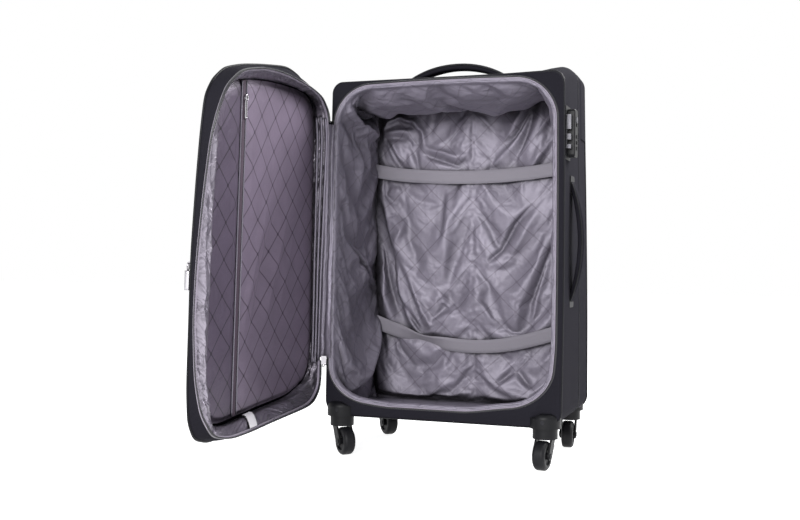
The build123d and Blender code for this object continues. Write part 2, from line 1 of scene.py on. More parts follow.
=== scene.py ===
"""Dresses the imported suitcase: soft shell, lining, lid, handles, zips and trim. Lengths inside are in mm."""
import json
import math

import bmesh
import bpy
import numpy as np
from mathutils import Matrix, Vector, noise


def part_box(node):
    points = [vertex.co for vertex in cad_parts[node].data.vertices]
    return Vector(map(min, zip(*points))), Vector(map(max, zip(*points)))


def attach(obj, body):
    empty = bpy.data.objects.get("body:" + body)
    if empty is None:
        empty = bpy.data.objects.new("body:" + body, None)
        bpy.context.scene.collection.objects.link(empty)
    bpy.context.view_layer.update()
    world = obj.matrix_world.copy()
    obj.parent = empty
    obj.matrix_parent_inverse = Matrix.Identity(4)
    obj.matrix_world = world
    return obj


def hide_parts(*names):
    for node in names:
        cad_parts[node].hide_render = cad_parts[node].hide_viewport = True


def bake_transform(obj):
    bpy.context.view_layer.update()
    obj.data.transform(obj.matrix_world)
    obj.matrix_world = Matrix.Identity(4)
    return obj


bl_info = {
    "name": "Soft suitcase",
    "version": (1, 0, 0),
    "blender": (4, 5, 0),
    "location": "View3D > Sidebar > Suitcase",
    "description": "Makes the fabric, lining, handles, zips and trim of a soft-sided suitcase",
    "category": "Object",
}

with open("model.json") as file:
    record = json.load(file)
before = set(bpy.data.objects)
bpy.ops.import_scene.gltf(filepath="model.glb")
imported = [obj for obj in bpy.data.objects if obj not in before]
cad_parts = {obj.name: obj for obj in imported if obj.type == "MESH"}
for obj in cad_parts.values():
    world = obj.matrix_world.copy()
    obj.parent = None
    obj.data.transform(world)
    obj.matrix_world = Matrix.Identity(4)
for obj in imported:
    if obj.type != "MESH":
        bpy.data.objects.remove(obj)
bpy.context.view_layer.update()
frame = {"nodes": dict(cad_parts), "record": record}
joints = {joint["name"]: joint for joint in frame["record"]["behaviour"]["joints"]}

MM = 0.001
case_low, case_high = (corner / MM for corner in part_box("back_panel"))
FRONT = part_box("front_rim")[0].y / MM
BACK = case_high.y
BOTTOM, TOP = case_low.z, case_high.z
HALF = case_high.x
MIDDLE = (BOTTOM + TOP) / 2
HINGE = Vector(joints["lid_hinge"]["pos_m"]) / MM
HINGE_UP = -Vector(joints["lid_hinge"]["axis"])
OPEN_TURN = Matrix.Rotation(math.radians(joints["lid_hinge"]["range_deg"][0]), 3, HINGE_UP)
LID_X = OPEN_TURN @ Vector((1, 0, 0))
LID_OUT = OPEN_TURN @ Vector((0, -1, 0))
LID_UP = LID_OUT.cross(LID_X)


def linear(hex_colour):
    """Turn an sRGB hex colour into scene linear values."""
    channels = [int(hex_colour[i : i + 2], 16) / 255 for i in (1, 3, 5)]
    return tuple(c / 12.92 if c <= 0.04045 else ((c + 0.055) / 1.055) ** 2.4 for c in channels)


def length(label, about, default):
    """A size property in metres, with its default given in mm."""
    return bpy.props.FloatProperty(name=label, description=about, default=default * MM, unit="LENGTH", min=0)


def colour(label, about, default):
    """A colour property."""
    return bpy.props.FloatVectorProperty(
        name=label, description=about, default=linear(default), subtype="COLOR", size=3, min=0, max=1
    )


class SuitcaseSizes(bpy.types.PropertyGroup):
    """Sizes of the soft pieces."""

    corner: length("Corner radius", "Rounding of the lower corners of the case seen from the front", 28)
    top_corner: length("Top corner radius", "Rounding of the upper corners of the case", 19)
    corner_rise: length("Corner rise", "How far the far right corner stands above the front edge", 30)
    mouth_corner: length("Mouth corner radius", "Rounding of the opening", 68)
    side_border: length("Side border", "Width of the front rim at the sides", 8)
    top_border: length("Top border", "Width of the front rim at the top", 5)
    bottom_border: length("Bottom border", "Width of the front rim at the bottom", 22)
    lean: length("Lean", "How far the left wall leans in at the top", 9)
    bow: length("Bow", "How far the right wall bows out at mid height", 2)
    piping: length("Piping radius", "Radius of the cord in the piping", 2.4)
    lattice: length("Lattice", "Distance between the printed lines of the lining", 41.4)
    strap_width: length("Strap width", "Width of the tie straps", 26)
    wrinkle: bpy.props.FloatProperty(
        name="Wrinkles", description="Strength of the folds in the lining", default=1.0, min=0, max=2, subtype="FACTOR"
    )


class SuitcaseColours(bpy.types.PropertyGroup):
    """Colours of the finishes."""

    shell: colour("Shell", "Woven polyester of the case", "#232228")
    piping: colour("Piping", "Vinyl piping", "#131317")
    lining: colour("Lining", "Satin lining of the body", "#817c89")
    # Painted shade: the lid's satin is set a little darker than the body's for the lesser light on the lid
    lid_lining: colour("Lid lining", "Satin lining of the lid's panel", "#7e7284")
    # Painted light: the same satin set paler than the body's lining, where more light falls on the lid's edge
    gusset_lining_painted_light: colour("Lid gusset lining", "Satin lining round the edge of the lid", "#958f9b")
    # Painted shade: the lid's satin set much darker beyond the pocket zip, where less light falls
    pocket_lining_painted_shade: colour("Lid pocket lining", "Satin beyond the pocket zip of the lid", "#594f60")
    lattice: colour("Lattice", "Printed lines of the lining", "#3c3340")
    binding: colour("Binding", "Edge binding of the lining", "#918998")
    strap: colour("Strap", "Elastic straps", "#827e87")
    plastic: colour("Plastic", "Moulded plastic", "#0e0e11")
    wheel: colour("Wheel", "Wheel rubber", "#111114")
    tag: colour("Tag", "Blank woven tags", "#f1eef2")


def mm(value):
    """A size property in mm."""
    return value / MM


def sizes():
    """The sizes in use."""
    return bpy.context.scene.suitcase_sizes


def colours():
    """The colours in use."""
    return bpy.context.scene.suitcase_colours


# Shapes


# Points along a side, along half an end and round a corner of every loop
SIDE_STEPS, END_STEPS, CORNER_STEPS = 88, 16, 16


def rounded_loop(width, height, radius, centre=(0, 0)):
    """Points and outward normals of a rounded rectangle, the same count for every size.

    It starts at the middle of the bottom and runs towards +x, so that two loops match corner to corner.
    """
    half_w, half_h = width / 2 - radius, height / 2 - radius
    rows = []

    def straight(start, end, normal, count):
        for i in range(count):
            t = i / count
            rows.append((start[0] + (end[0] - start[0]) * t, start[1] + (end[1] - start[1]) * t, *normal))

    def corner(cx, cz, first, count):
        for i in range(count):
            angle = first + math.pi / 2 * i / count
            normal = (math.cos(angle), math.sin(angle))
            rows.append((cx + radius * normal[0], cz + radius * normal[1], *normal))

    low, high = -height / 2, height / 2
    straight((0, low), (half_w, low), (0, -1), END_STEPS)
    corner(half_w, -half_h, -math.pi / 2, CORNER_STEPS)
    straight((width / 2, -half_h), (width / 2, half_h), (1, 0), SIDE_STEPS)
    corner(half_w, half_h, 0, CORNER_STEPS)
    straight((half_w, high), (-half_w, high), (0, 1), 2 * END_STEPS)
    corner(-half_w, half_h, math.pi / 2, CORNER_STEPS)
    straight((-width / 2, half_h), (-width / 2, -half_h), (-1, 0), SIDE_STEPS)
    corner(-half_w, -half_h, math.pi, CORNER_STEPS)
    straight((-half_w, low), (0, low), (0, -1), END_STEPS)
    loop = np.array(rows)
    loop[:, 0] += centre[0]
    loop[:, 1] += centre[1]
    return loop


def smooth(t):
    """Ease from 0 to 1 while t runs from 0 to 1."""
    t = np.clip(t, 0, 1)
    return t * t * (3 - 2 * t)


def slump(points):
    """Let the soft case lean and bow, with its far right corner standing up, as it does with the lid open."""
    points = np.array(points, float)
    t = np.clip((points[..., 2] - BOTTOM) / (TOP - BOTTOM), 0, 1)
    left = np.clip(-points[..., 0] / HALF, 0, 1)
    right = np.clip(points[..., 0] / HALF, 0, 1)
    deep = np.clip((points[..., 1] - FRONT) / (BACK - FRONT), 0, 1)
    # The raised corner begins 95 mm right of the middle, in the top fifth of the case, and grows towards the back
    crown = smooth((points[..., 0] - 95) / 105) * smooth((t - 0.8) / 0.2)
    crown = crown * np.sin(np.clip(deep * 1.6, 0, 1) * math.pi / 2)
    points[..., 0] += left * mm(sizes().lean) * t**1.3
    # The right wall splays out at the back of its foot and draws in at the back of its top
    splay, draw = 4.5, 11.5
    points[..., 0] += right * (mm(sizes().bow) * np.sin(math.pi * t) + deep * (splay - draw * t))
    points[..., 2] += mm(sizes().corner_rise) * crown
    return points


def ring(loop, y):
    """Stand a loop up in the case at the given depth."""
    return np.stack([loop[:, 0], np.full(len(loop), y), loop[:, 1]], axis=1)


def lid_place(points):
    """Move points given as reach from the hinge, height above the hinge's middle and depth to the open lid."""
    points = np.asarray(points, float)
    axes = np.array([LID_X, LID_UP, LID_OUT])
    return points @ axes + np.array(HINGE)


def mesh_object(name, points, faces, material, uv):
    """Make an object from points in mm, faces, and one uv pair in mm for each corner of each face."""
    mesh = bpy.data.meshes.new(name)
    mesh.from_pydata((np.asarray(points, float) * MM).tolist(), [], faces)
    layer = mesh.uv_layers.new(name="cloth")
    layer.data.foreach_set("uv", (np.asarray(uv, float) * MM).ravel())
    mesh.polygons.foreach_set("use_smooth", [True] * len(mesh.polygons))
    mesh.materials.append(material)
    mesh.update()
    piece = bpy.data.objects.new(name, mesh)
    bpy.context.scene.collection.objects.link(piece)
    return piece


def skin(name, rings, material, closed=True, flip=False, uv=None):
    """A surface through rings of equally many points.

    Where no uv map is given, it holds the lengths along and across the rings.
    """
    rings = np.asarray(rings, float)
    count, points = rings.shape[:2]
    wrapped = np.concatenate([rings, rings[:, :1]], axis=1) if closed else rings
    along = np.zeros(wrapped.shape[:2])
    along[:, 1:] = np.cumsum(np.linalg.norm(np.diff(wrapped, axis=1), axis=2), axis=1)
    along -= along[:, -1:] / 2
    across = np.zeros(wrapped.shape[:2])
    across[1:] = np.cumsum(np.linalg.norm(np.diff(wrapped, axis=0), axis=2), axis=0)
    spread = np.stack([along, across], axis=2) if uv is None else np.asarray(uv, float)
    faces, corner_uv = [], []
    for r in range(count - 1):
        for i in range(points if closed else points - 1):
            j = (i + 1) % points
            corners = [(r, i, i), (r, j, i + 1), (r + 1, j, i + 1), (r + 1, i, i)]
            if flip:
                corners.reverse()
            faces.append([a * points + b for a, b, _ in corners])
            corner_uv += [spread[a, c] for a, _, c in corners]
    return mesh_object(name, rings.reshape(-1, 3), faces, material, corner_uv)


def close_holes(piece, sides):
    """Merge the doubles of a mesh, close its holes of up to the given number of sides and turn its faces outwards."""
    work = bmesh.new()
    work.from_mesh(piece.data)
    bmesh.ops.remove_doubles(work, verts=work.verts, dist=1e-6)
    bmesh.ops.holes_fill(work, edges=work.edges, sides=sides)
    bmesh.ops.recalc_face_normals(work, faces=work.faces)
    work.to_mesh(piece.data)
    work.free()


def fill_ring(piece, first, count):
    """Close a mesh with one face over a run of its points."""
    work = bmesh.new()
    work.from_mesh(piece.data)
    work.verts.ensure_lookup_table()
    work.faces.new([work.verts[first + i] for i in range(count)])
    bmesh.ops.recalc_face_normals(work, faces=work.faces)
    work.to_mesh(piece.data)
    work.free()


def cord_rings(path, radius, sides=10, closed=False, flat=1.0, facing=None):
    """Rings of a round or flattened cord along a path."""
    path = np.asarray(path, float)
    if closed:
        tangent = np.roll(path, -1, axis=0) - np.roll(path, 1, axis=0)
    else:
        tangent = np.gradient(path, axis=0)
    tangent /= np.linalg.norm(tangent, axis=1)[:, None]
    normal = np.array(facing, float) if facing is not None else np.array((0.3, 0.5, 0.81))
    rings = []
    for p, t in zip(path, tangent):
        side = normal - t * normal.dot(t)
        side /= np.linalg.norm(side)
        if facing is None:
            normal = side
        other = np.cross(t, side)
        angles = np.arange(sides) * 2 * math.pi / sides
        rings.append(p + radius * (np.outer(np.cos(angles) * flat, side) + np.outer(np.sin(angles), other)))
    return np.array(rings)


def cord(name, path, radius, material, sides=10, closed=False, flat=1.0, facing=None):
    """A sewn-in cord: a tube along a path, with closed ends."""
    rings = cord_rings(path, radius, sides, closed, flat, facing)
    if closed:
        rings = np.concatenate([rings, rings[:1]])
    piece = skin(name, rings, material)
    close_holes(piece, sides)
    return piece


def join(name, *pieces):
    """Make one object of several, keeping their materials and uv maps."""
    bpy.ops.object.select_all(action="DESELECT")
    for piece in pieces:
        piece.select_set(True)
    bpy.context.view_layer.objects.active = pieces[0]
    bpy.ops.object.join()
    pieces[0].name = name
    return pieces[0]


def settle(piece, body, slot, *nodes):
    """Fix a piece to a body and hide the CAD nodes that it stands for. The slot is not used."""
    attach(piece, body)
    if nodes:
        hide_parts(*nodes)
    return piece


def dress(material, *nodes):
    """Give CAD nodes a finish."""
    for name in nodes:
        slots = frame["nodes"][name].data.materials
        slots.clear()
        slots.append(material)


def sampled(x, y, scale, value):
    """A function of two places, in units of the scale, at every point of two arrays."""
    values = [value(a, b) for a, b in zip(np.ravel(x) / scale, np.ravel(y) / scale)]
    return np.array(values).reshape(np.shape(x))


def ripple(x, y, scale, seed, octaves=3):
    """Smooth noise for arrays, from about -1 to 1."""
    return sampled(x, y, scale, lambda a, b: noise.fractal((a, b, seed), 0.9, 2.0, octaves))


def creases(x, y, scale, seed):
    """Facets with sharp valleys between them, from 0 at a crease to about 1."""

    def valley(a, b):
        distances, _ = noise.voronoi((a, b, seed))
        return distances[1] - distances[0]

    return sampled(x, y, scale, valley)


def fold(x, y, path, width, height, lean=0.0):
    """A fold along a path: a ridge, or a valley where height is negative, steeper on one side if it leans."""
    best = np.full(np.shape(x), 1e9)
    side = np.zeros(np.shape(x))
    fade = np.zeros(np.shape(x))
    path = np.asarray(path, float)
    steps = np.linalg.norm(np.diff(path, axis=0), axis=1)
    total = steps.sum()
    done = 0.0
    for (ax, ay), (bx, by), step in zip(path[:-1], path[1:], steps):
        dx, dy = (bx - ax) / step, (by - ay) / step
        t = np.clip((x - ax) * dx + (y - ay) * dy, 0, step)
        ox, oy = x - ax - dx * t, y - ay - dy * t
        distance = np.hypot(ox, oy)
        near = distance < best
        best = np.where(near, distance, best)
        side = np.where(near, np.sign(dx * oy - dy * ox), side)
        fade = np.where(near, np.sin(math.pi * np.clip((done + t) / total, 0.02, 0.98)) ** 0.6, fade)
        done += step
    spread = width * (1 + lean * side)
    return height * fade * np.exp(-((best / spread) ** 1.5))


def with_folds(height, x, y, rows):
    """Add folds to a height. Each row gives a fold's path, width and rise, and its lean where it has one."""
    return sum((fold(x, y, *row) for row in rows), height)


def evaluated_mesh(piece):
    """A plain mesh of an object with its modifiers applied."""
    graph = bpy.context.evaluated_depsgraph_get()
    return bpy.data.meshes.new_from_object(piece.evaluated_get(graph), depsgraph=graph)


def let_hang(piece, held, growth, weight=0.15, frames=24):
    """Let a sheet buckle into folds: it grows a little between its held points and settles under gravity."""
    group = piece.vertex_groups.new(name="held")
    for index, hold in enumerate(held):
        if hold > 0:
            group.add([index], float(hold), "REPLACE")
    cloth = piece.modifiers.new("cloth", "CLOTH")
    settings = cloth.settings
    settings.quality = 6
    settings.mass = 0.15
    settings.tension_stiffness = 12
    settings.compression_stiffness = 12
    settings.shear_stiffness = 4
    settings.bending_stiffness = 0.008
    settings.air_damping = 3
    settings.vertex_group_mass = "held"
    settings.shrink_min = -growth
    settings.shrink_max = -growth
    settings.effector_weights.gravity = weight
    cloth.collision_settings.use_collision = False
    cloth.collision_settings.use_self_collision = False
    cloth.point_cache.frame_end = frames
    scene = bpy.context.scene
    for number in range(1, frames + 1):
        scene.frame_set(number)
    mesh = evaluated_mesh(piece)
    piece.modifiers.clear()
    piece.vertex_groups.clear()
    piece.data = mesh
    scene.frame_set(1)
    return piece


def reshape(piece, move):
    """Change the points of a piece, given in mm, with a function."""
    flat = np.empty(len(piece.data.vertices) * 3)
    piece.data.vertices.foreach_get("co", flat)
    piece.data.vertices.foreach_set("co", (move(flat.reshape(-1, 3) / MM) * MM).ravel())
    piece.data.update()


def refine(piece):
    """Round a coarse sheet with one level of subdivision."""
    modifier = piece.modifiers.new("round", "SUBSURF")
    modifier.levels = modifier.render_levels = 1
    mesh = evaluated_mesh(piece)
    piece.modifiers.clear()
    piece.data = mesh
    mesh.polygons.foreach_set("use_smooth", [True] * len(mesh.polygons))
    return piece


# Finishes


def add(tree, kind, values=None, **settings):
    """Add a node with its settings; values are constants or sockets for its inputs."""
    made = tree.nodes.new(kind)
    for key, value in settings.items():
        setattr(made, key, value)
    for key, value in (values or {}).items():
        if isinstance(value, bpy.types.NodeSocket):
            tree.links.new(value, made.inputs[key])
        else:
            made.inputs[key].default_value = value
    return made


def finish(name, surface):
    """A material with its Principled shader set to constant values; returns it, its tree and the shader."""
    material = bpy.data.materials.new(name)
    material.use_nodes = True
    tree = material.node_tree
    shader = tree.nodes["Principled BSDF"]
    for key, value in surface.items():
        shader.inputs[key].default_value = (*value, 1) if isinstance(value, tuple) else value
    return material, tree, shader


# A wave texture of scale 1 repeats every 0.314 m
WAVE = 0.314

made_finishes = {}


def once(maker):
    """Make each finish only once."""

    def get():
        if maker.__name__ not in made_finishes:
            made_finishes[maker.__name__] = maker()
        return made_finishes[maker.__name__]

    return get


def mottled(tree, value, shade, dark, pale):
    """A dye that runs from a darker to a paler share of one shade."""
    ramp = add(tree, "ShaderNodeValToRGB", {"Fac": value})
    for element, share in zip(ramp.color_ramp.elements, (dark, pale)):
        element.color = (*(c * share for c in shade), 1)
    return ramp.outputs["Color"]


def grain_bump(tree, shader, place, grain, detail, depth, strength):
    """A fine grain pressed into a surface: its size and depth in mm. Returns the grain for other uses."""
    speckle = add(tree, "ShaderNodeTexNoise", {"Vector": place, "Scale": 1 / (grain * MM), "Detail": detail})
    value = speckle.outputs["Fac"]
    bump = add(tree, "ShaderNodeBump", {"Height": value, "Distance": depth * MM, "Strength": strength})
    tree.links.new(bump.outputs["Normal"], shader.inputs["Normal"])
    return value


def weave_bump(tree, shader, pitch, depth, strength):
    """Threads at a pitch and depth in mm: waves along x and y cross, and waves along z join them for the sides."""
    place = add(tree, "ShaderNodeTexCoord").outputs["Object"]
    waves = []
    for axis in "XYZ":
        wave = add(
            tree,
            "ShaderNodeTexWave",
            {"Vector": place, "Scale": WAVE / (pitch * MM), "Distortion": 0.6, "Detail": 1.0},
            bands_direction=axis,
        )
        waves.append(wave.outputs["Fac"])
    total = add(tree, "ShaderNodeMath", {0: waves[0], 1: waves[1]}, operation="MULTIPLY").outputs[0]
    total = add(tree, "ShaderNodeMath", {0: total, 1: waves[2]}, operation="ADD").outputs[0]
    bump = add(tree, "ShaderNodeBump", {"Height": total, "Distance": depth * MM, "Strength": strength})
    tree.links.new(bump.outputs["Normal"], shader.inputs["Normal"])
    return place, total


@once
def woven_polyester():
    """Black woven polyester: dull, with a fine basket of threads and a little dust in its colour."""
    material, tree, shader = finish("woven polyester", {"Roughness": 0.85, "Specular IOR Level": 0.03})
    # Threads lie about 0.6 mm apart; drawn at 2.2 mm so that they show
    place, weave = weave_bump(tree, shader, 2.2, 0.35, 0.3)
    cloud = add(tree, "ShaderNodeTexNoise", {"Vector": place, "Scale": 1 / 0.09, "Detail": 5.0})
    mix = add(tree, "ShaderNodeMath", {0: cloud.outputs["Fac"], 1: weave}, operation="MULTIPLY")
    tree.links.new(mottled(tree, mix.outputs[0], colours().shell, 0.88, 1.15), shader.inputs["Base Color"])
    return material


@once
def piping_vinyl():
    """Extruded vinyl over a cord: smooth and a little shiny."""
    material, tree, shader = finish(
        "piping vinyl", {"Base Color": tuple(colours().piping), "Roughness": 0.5, "Specular IOR Level": 0.15}
    )
    place = add(tree, "ShaderNodeTexCoord").outputs["Object"]
    grain_bump(tree, shader, place, 1.2, 2.0, 0.1, 0.4)
    return material


def lattice_print(tree, cloth, strength):
    """Where the print lies: lines about 2 mm wide on the slant, with a dot of about 5 mm at each crossing."""
    split = add(tree, "ShaderNodeSeparateXYZ", {"Vector": cloth})
    pitch = sizes().lattice * math.sqrt(2)
    gaps = []
    for operation in ("ADD", "SUBTRACT"):
        slanted = add(tree, "ShaderNodeMath", {0: split.outputs[0], 1: split.outputs[1]}, operation=operation)
        turns = add(tree, "ShaderNodeMath", {0: slanted.outputs[0], 1: 1 / pitch}, operation="MULTIPLY")
        gaps.append(add(tree, "ShaderNodeMath", {0: turns.outputs[0], 1: 0.5}, operation="PINGPONG").outputs[0])
    nearest = add(tree, "ShaderNodeMath", dict(enumerate(gaps)), operation="MINIMUM").outputs[0]
    furthest = add(tree, "ShaderNodeMath", dict(enumerate(gaps)), operation="MAXIMUM").outputs[0]
    # The shares of the pitch at which a line and a dot begin and end to fade
    line = add(tree, "ShaderNodeMapRange", {0: nearest, 1: 0.016, 2: 0.036, 3: strength, 4: 0.0})
    dot = add(tree, "ShaderNodeMapRange", {0: furthest, 1: 0.04, 2: 0.065, 3: min(1, strength * 1.3), 4: 0.0})
    return add(tree, "ShaderNodeMath", {0: line.outputs[0], 1: dot.outputs[0]}, operation="MAXIMUM").outputs[0]


def printed_satin(name, shade, strength, roughness, lustre, crumple, ink=1.0):
    """Printed polyester satin: dyed threads that shine in their own colour, with a dark lattice.

    The strength is that of the print, the crumple is the depth of its small creases in mm. Its colour carries painted
    shade in the creases.
    """
    material, tree, shader = finish(name, {"Roughness": roughness, "Metallic": lustre, "Specular IOR Level": 0.4})
    cloth = add(tree, "ShaderNodeUVMap", uv_map="cloth").outputs["UV"]
    cloud = add(tree, "ShaderNodeTexNoise", {"Vector": cloth, "Scale": 1 / 0.05, "Detail": 4.0})
    ground = mottled(tree, cloud.outputs["Fac"], shade, 0.8, 1.2)
    dark = (*(c * ink for c in colours().lattice), 1)
    printed = add(
        tree, "ShaderNodeMix", {"Factor": lattice_print(tree, cloth, strength), 6: ground, 7: dark}, data_type="RGBA"
    )
    # Painted shade: ambient occlusion darkens the colour in the creases, within about 35 mm of the next fold
    opening = add(tree, "ShaderNodeAmbientOcclusion", {"Distance": 0.035}, samples=6)
    depth = add(tree, "ShaderNodeMapRange", {0: opening.outputs["AO"], 1: 0.35, 2: 0.97, 3: 0.12, 4: 1.0})
    painted_crease_shade = add(
        tree, "ShaderNodeMix", {"Factor": depth.outputs[0], 6: (0, 0, 0, 1), 7: printed.outputs[2]}, data_type="RGBA"
    )
    tree.links.new(painted_crease_shade.outputs[2], shader.inputs["Base Color"])
    # Threads about 0.3 mm apart; drawn at 1.6 mm, with small puckers of about 9 mm
    threads = add(
        tree,
        "ShaderNodeTexWave",
        {"Vector": cloth, "Scale": WAVE / 0.0016, "Distortion": 1.5, "Detail": 2.0},
        bands_direction="Y",
    )
    pucker = add(tree, "ShaderNodeTexNoise", {"Vector": cloth, "Scale": 1 / 0.009, "Detail": 3.0})
    height = add(
        tree, "ShaderNodeMath", {0: pucker.outputs["Fac"], 1: 6.0, 2: threads.outputs["Fac"]}, operation="MULTIPLY_ADD"
    )
    # Small crumples about 30 mm apart
    creased = add(tree, "ShaderNodeTexNoise", {"Vector": cloth, "Scale": 1 / 0.03, "Detail": 3.0, "Distortion": 0.7})
    rough = add(tree, "ShaderNodeBump", {"Height": creased.outputs["Fac"], "Distance": crumple * MM, "Strength": 1.0})
    bump = add(
        tree,
        "ShaderNodeBump",
        {"Height": height.outputs[0], "Distance": 0.00012, "Strength": 0.35, "Normal": rough.outputs["Normal"]},
    )
    tree.links.new(bump.outputs["Normal"], shader.inputs["Normal"])
    return material


@once
def lining_satin():
    """The body's lining, worn soft, with its print faded."""
    return printed_satin("lining satin", colours().lining, 0.3, 0.5, 0.2, 2.6)


@once
def lid_satin_in_painted_shade():
    """The lid's lining, stretched over its board, with its print fresh, and its colour a little darker than the body's:
    painted shade.
    """
    return printed_satin("lid lining satin in painted shade", colours().lid_lining, 0.8, 0.46, 0.4, 1.2)


@once
def gusset_satin_painted_light():
    """The lining round the edge of the lid: crumpled and shiny, in a paler colour that is painted light."""
    return printed_satin("lid gusset satin painted light", colours().gusset_lining_painted_light, 0.25, 0.3, 0.75, 9)


@once
def pocket_satin_painted_shade():
    """The lid's satin beyond the pocket zip, its ground and print painted darker: painted shade."""
    return printed_satin("lid pocket satin painted shade", colours().pocket_lining_painted_shade, 0.8, 0.46, 0.4, 1.2, ink=0.4)


@once
def pleat_satin():
    """The unprinted side of the lining, folded into the pleats at the hinge."""
    return printed_satin("plain lining satin", colours().lining, 0.0, 0.42, 0.5, 4)


@once
def binding_tape():
    """Folded satin tape sewn over the raw edge: pale, with fine ribs across it."""
    material, tree, shader = finish(
        "binding tape", {"Base Color": tuple(colours().binding), "Roughness": 0.5, "Sheen Weight": 0.2}
    )
    weave_bump(tree, shader, 1.6, 0.2, 0.5)
    return material


@once
def strap_elastic():
    """Woven elastic: dull grey with ribs across the width."""
    material, tree, shader = finish("woven elastic", {"Roughness": 0.7, "Sheen Weight": 0.15})
    cloth = add(tree, "ShaderNodeUVMap", uv_map="cloth").outputs["UV"]
    # Ribs about 0.8 mm apart; drawn at 2 mm
    ribs = add(
        tree, "ShaderNodeTexWave", {"Vector": cloth, "Scale": WAVE / 0.002, "Distortion": 0.3}, bands_direction="Y"
    )
    ground = mottled(tree, ribs.outputs["Fac"], colours().strap, 0.85, 1.08)
    tree.links.new(ground, shader.inputs["Base Color"])
    bump = add(tree, "ShaderNodeBump", {"Height": ribs.outputs["Fac"], "Distance": 0.0003, "Strength": 0.5})
    tree.links.new(bump.outputs["Normal"], shader.inputs["Normal"])
    return material


@once
def moulded_plastic():
    """Injection-moulded ABS: black, satin, with a fine spark-eroded grain."""
    material, tree, shader = finish(
        "moulded ABS", {"Base Color": tuple(colours().plastic), "Roughness": 0.45, "Specular IOR Level": 0.18}
    )
    place = add(tree, "ShaderNodeTexCoord").outputs["Object"]
    grain = grain_bump(tree, shader, place, 1.1, 3.0, 0.2, 0.35)
    rough = add(tree, "ShaderNodeMapRange", {0: grain, 3: 0.36, 4: 0.56})
    tree.links.new(rough.outputs[0], shader.inputs["Roughness"])
    return material


@once
def wheel_rubber():
    """Moulded polyurethane wheel: dark grey, scuffed dull on the tread."""
    material, tree, shader = finish("polyurethane", {"Roughness": 0.5, "Specular IOR Level": 0.18})
    place = add(tree, "ShaderNodeTexCoord").outputs["Object"]
    scuff = grain_bump(tree, shader, place, 6, 6.0, 0.2, 0.3)
    tree.links.new(mottled(tree, scuff, colours().wheel, 0.7, 1.5), shader.inputs["Base Color"])
    return material


def brushed(name, shade, roughness, stretch):
    """A metal with fine lines from brushing or drawing."""
    material, tree, shader = finish(name, {"Base Color": linear(shade), "Metallic": 1.0, "Roughness": roughness})
    place = add(tree, "ShaderNodeTexCoord").outputs["Object"]
    lines = add(tree, "ShaderNodeMapping", {"Vector": place, "Scale": stretch})
    grain = grain_bump(tree, shader, lines.outputs[0], 1.2, 3.0, 0.08, 0.25)
    rough = add(tree, "ShaderNodeMapRange", {0: grain, 3: roughness * 0.75, 4: roughness * 1.3})
    tree.links.new(rough.outputs[0], shader.inputs["Roughness"])
    return material


@once
def lock_metal():
    """Zinc casting with satin nickel plate."""
    return brushed("satin nickel", "#5c5b60", 0.5, (1, 1, 0.08))


@once
def tube_aluminium():
    """Drawn and anodised aluminium."""
    return brushed("anodised aluminium", "#b9babe", 0.34, (1, 1, 0.05))


@once
def zip_metal():
    """Nickel-plated zinc of the sliders and pulls."""
    return brushed("nickel plate", "#b4b2b6", 0.24, (1, 1, 1))


@once
def screw_steel():
    """Turned steel of screws and axles."""
    return brushed("turned steel", "#2c2c2f", 0.5, (1, 1, 1))


@once
def zip_nylon():
    """Black nylon coil of the zips."""
    material, tree, shader = finish("nylon coil", {"Base Color": linear("#232227"), "Roughness": 0.38})
    weave_bump(tree, shader, 1.5, 0.1, 0.3)
    return material


@once
def pocket_tape():
    """Dark plum zip tape in the lid."""
    material, tree, shader = finish("zip tape", {"Base Color": linear("#3a2b3a"), "Roughness": 0.7})
    weave_bump(tree, shader, 1.8, 0.2, 0.5)
    return material


@once
def tag_taffeta():
    """White woven taffeta of the blank tags."""
    material, tree, shader = finish("taffeta", {"Base Color": tuple(colours().tag), "Roughness": 0.6})
    weave_bump(tree, shader, 1.2, 0.1, 0.4)
    return material


# Repeats along a path


@once
def stud_tree():
    """Node tree that sets small rounded studs along a path: stitches and turns of a zip coil."""
    tree = bpy.data.node_groups.new("studs along a path", "GeometryNodeTree")
    tree.is_modifier = True
    for label, kind in (
        ("Path", "NodeSocketGeometry"),
        ("Spacing", "NodeSocketFloat"),
        ("Stud size", "NodeSocketVector"),
        ("Finish", "NodeSocketMaterial"),
    ):
        tree.interface.new_socket(label, in_out="INPUT", socket_type=kind)
    tree.interface.new_socket("Studs", in_out="OUTPUT", socket_type="NodeSocketGeometry")
    given = add(tree, "NodeGroupInput")
    points = add(
        tree,
        "GeometryNodeCurveToPoints",
        {"Curve": given.outputs["Path"], "Length": given.outputs["Spacing"]},
        mode="LENGTH",
    )
    stud = add(tree, "GeometryNodeMeshUVSphere", {"Segments": 8, "Rings": 4, "Radius": 1.0})
    placed = add(
        tree,
        "GeometryNodeInstanceOnPoints",
        {
            "Points": points.outputs["Points"],
            "Instance": stud.outputs["Mesh"],
            "Rotation": points.outputs["Rotation"],
            "Scale": given.outputs["Stud size"],
        },
    )
    real = add(tree, "GeometryNodeRealizeInstances", {"Geometry": placed.outputs[0]})
    rounded = add(tree, "GeometryNodeSetShadeSmooth", {"Geometry": real.outputs[0]})
    coated = add(tree, "GeometryNodeSetMaterial", {"Geometry": rounded.outputs[0], "Material": given.outputs["Finish"]})
    add(tree, "NodeGroupOutput", {"Studs": coated.outputs[0]})
    return tree


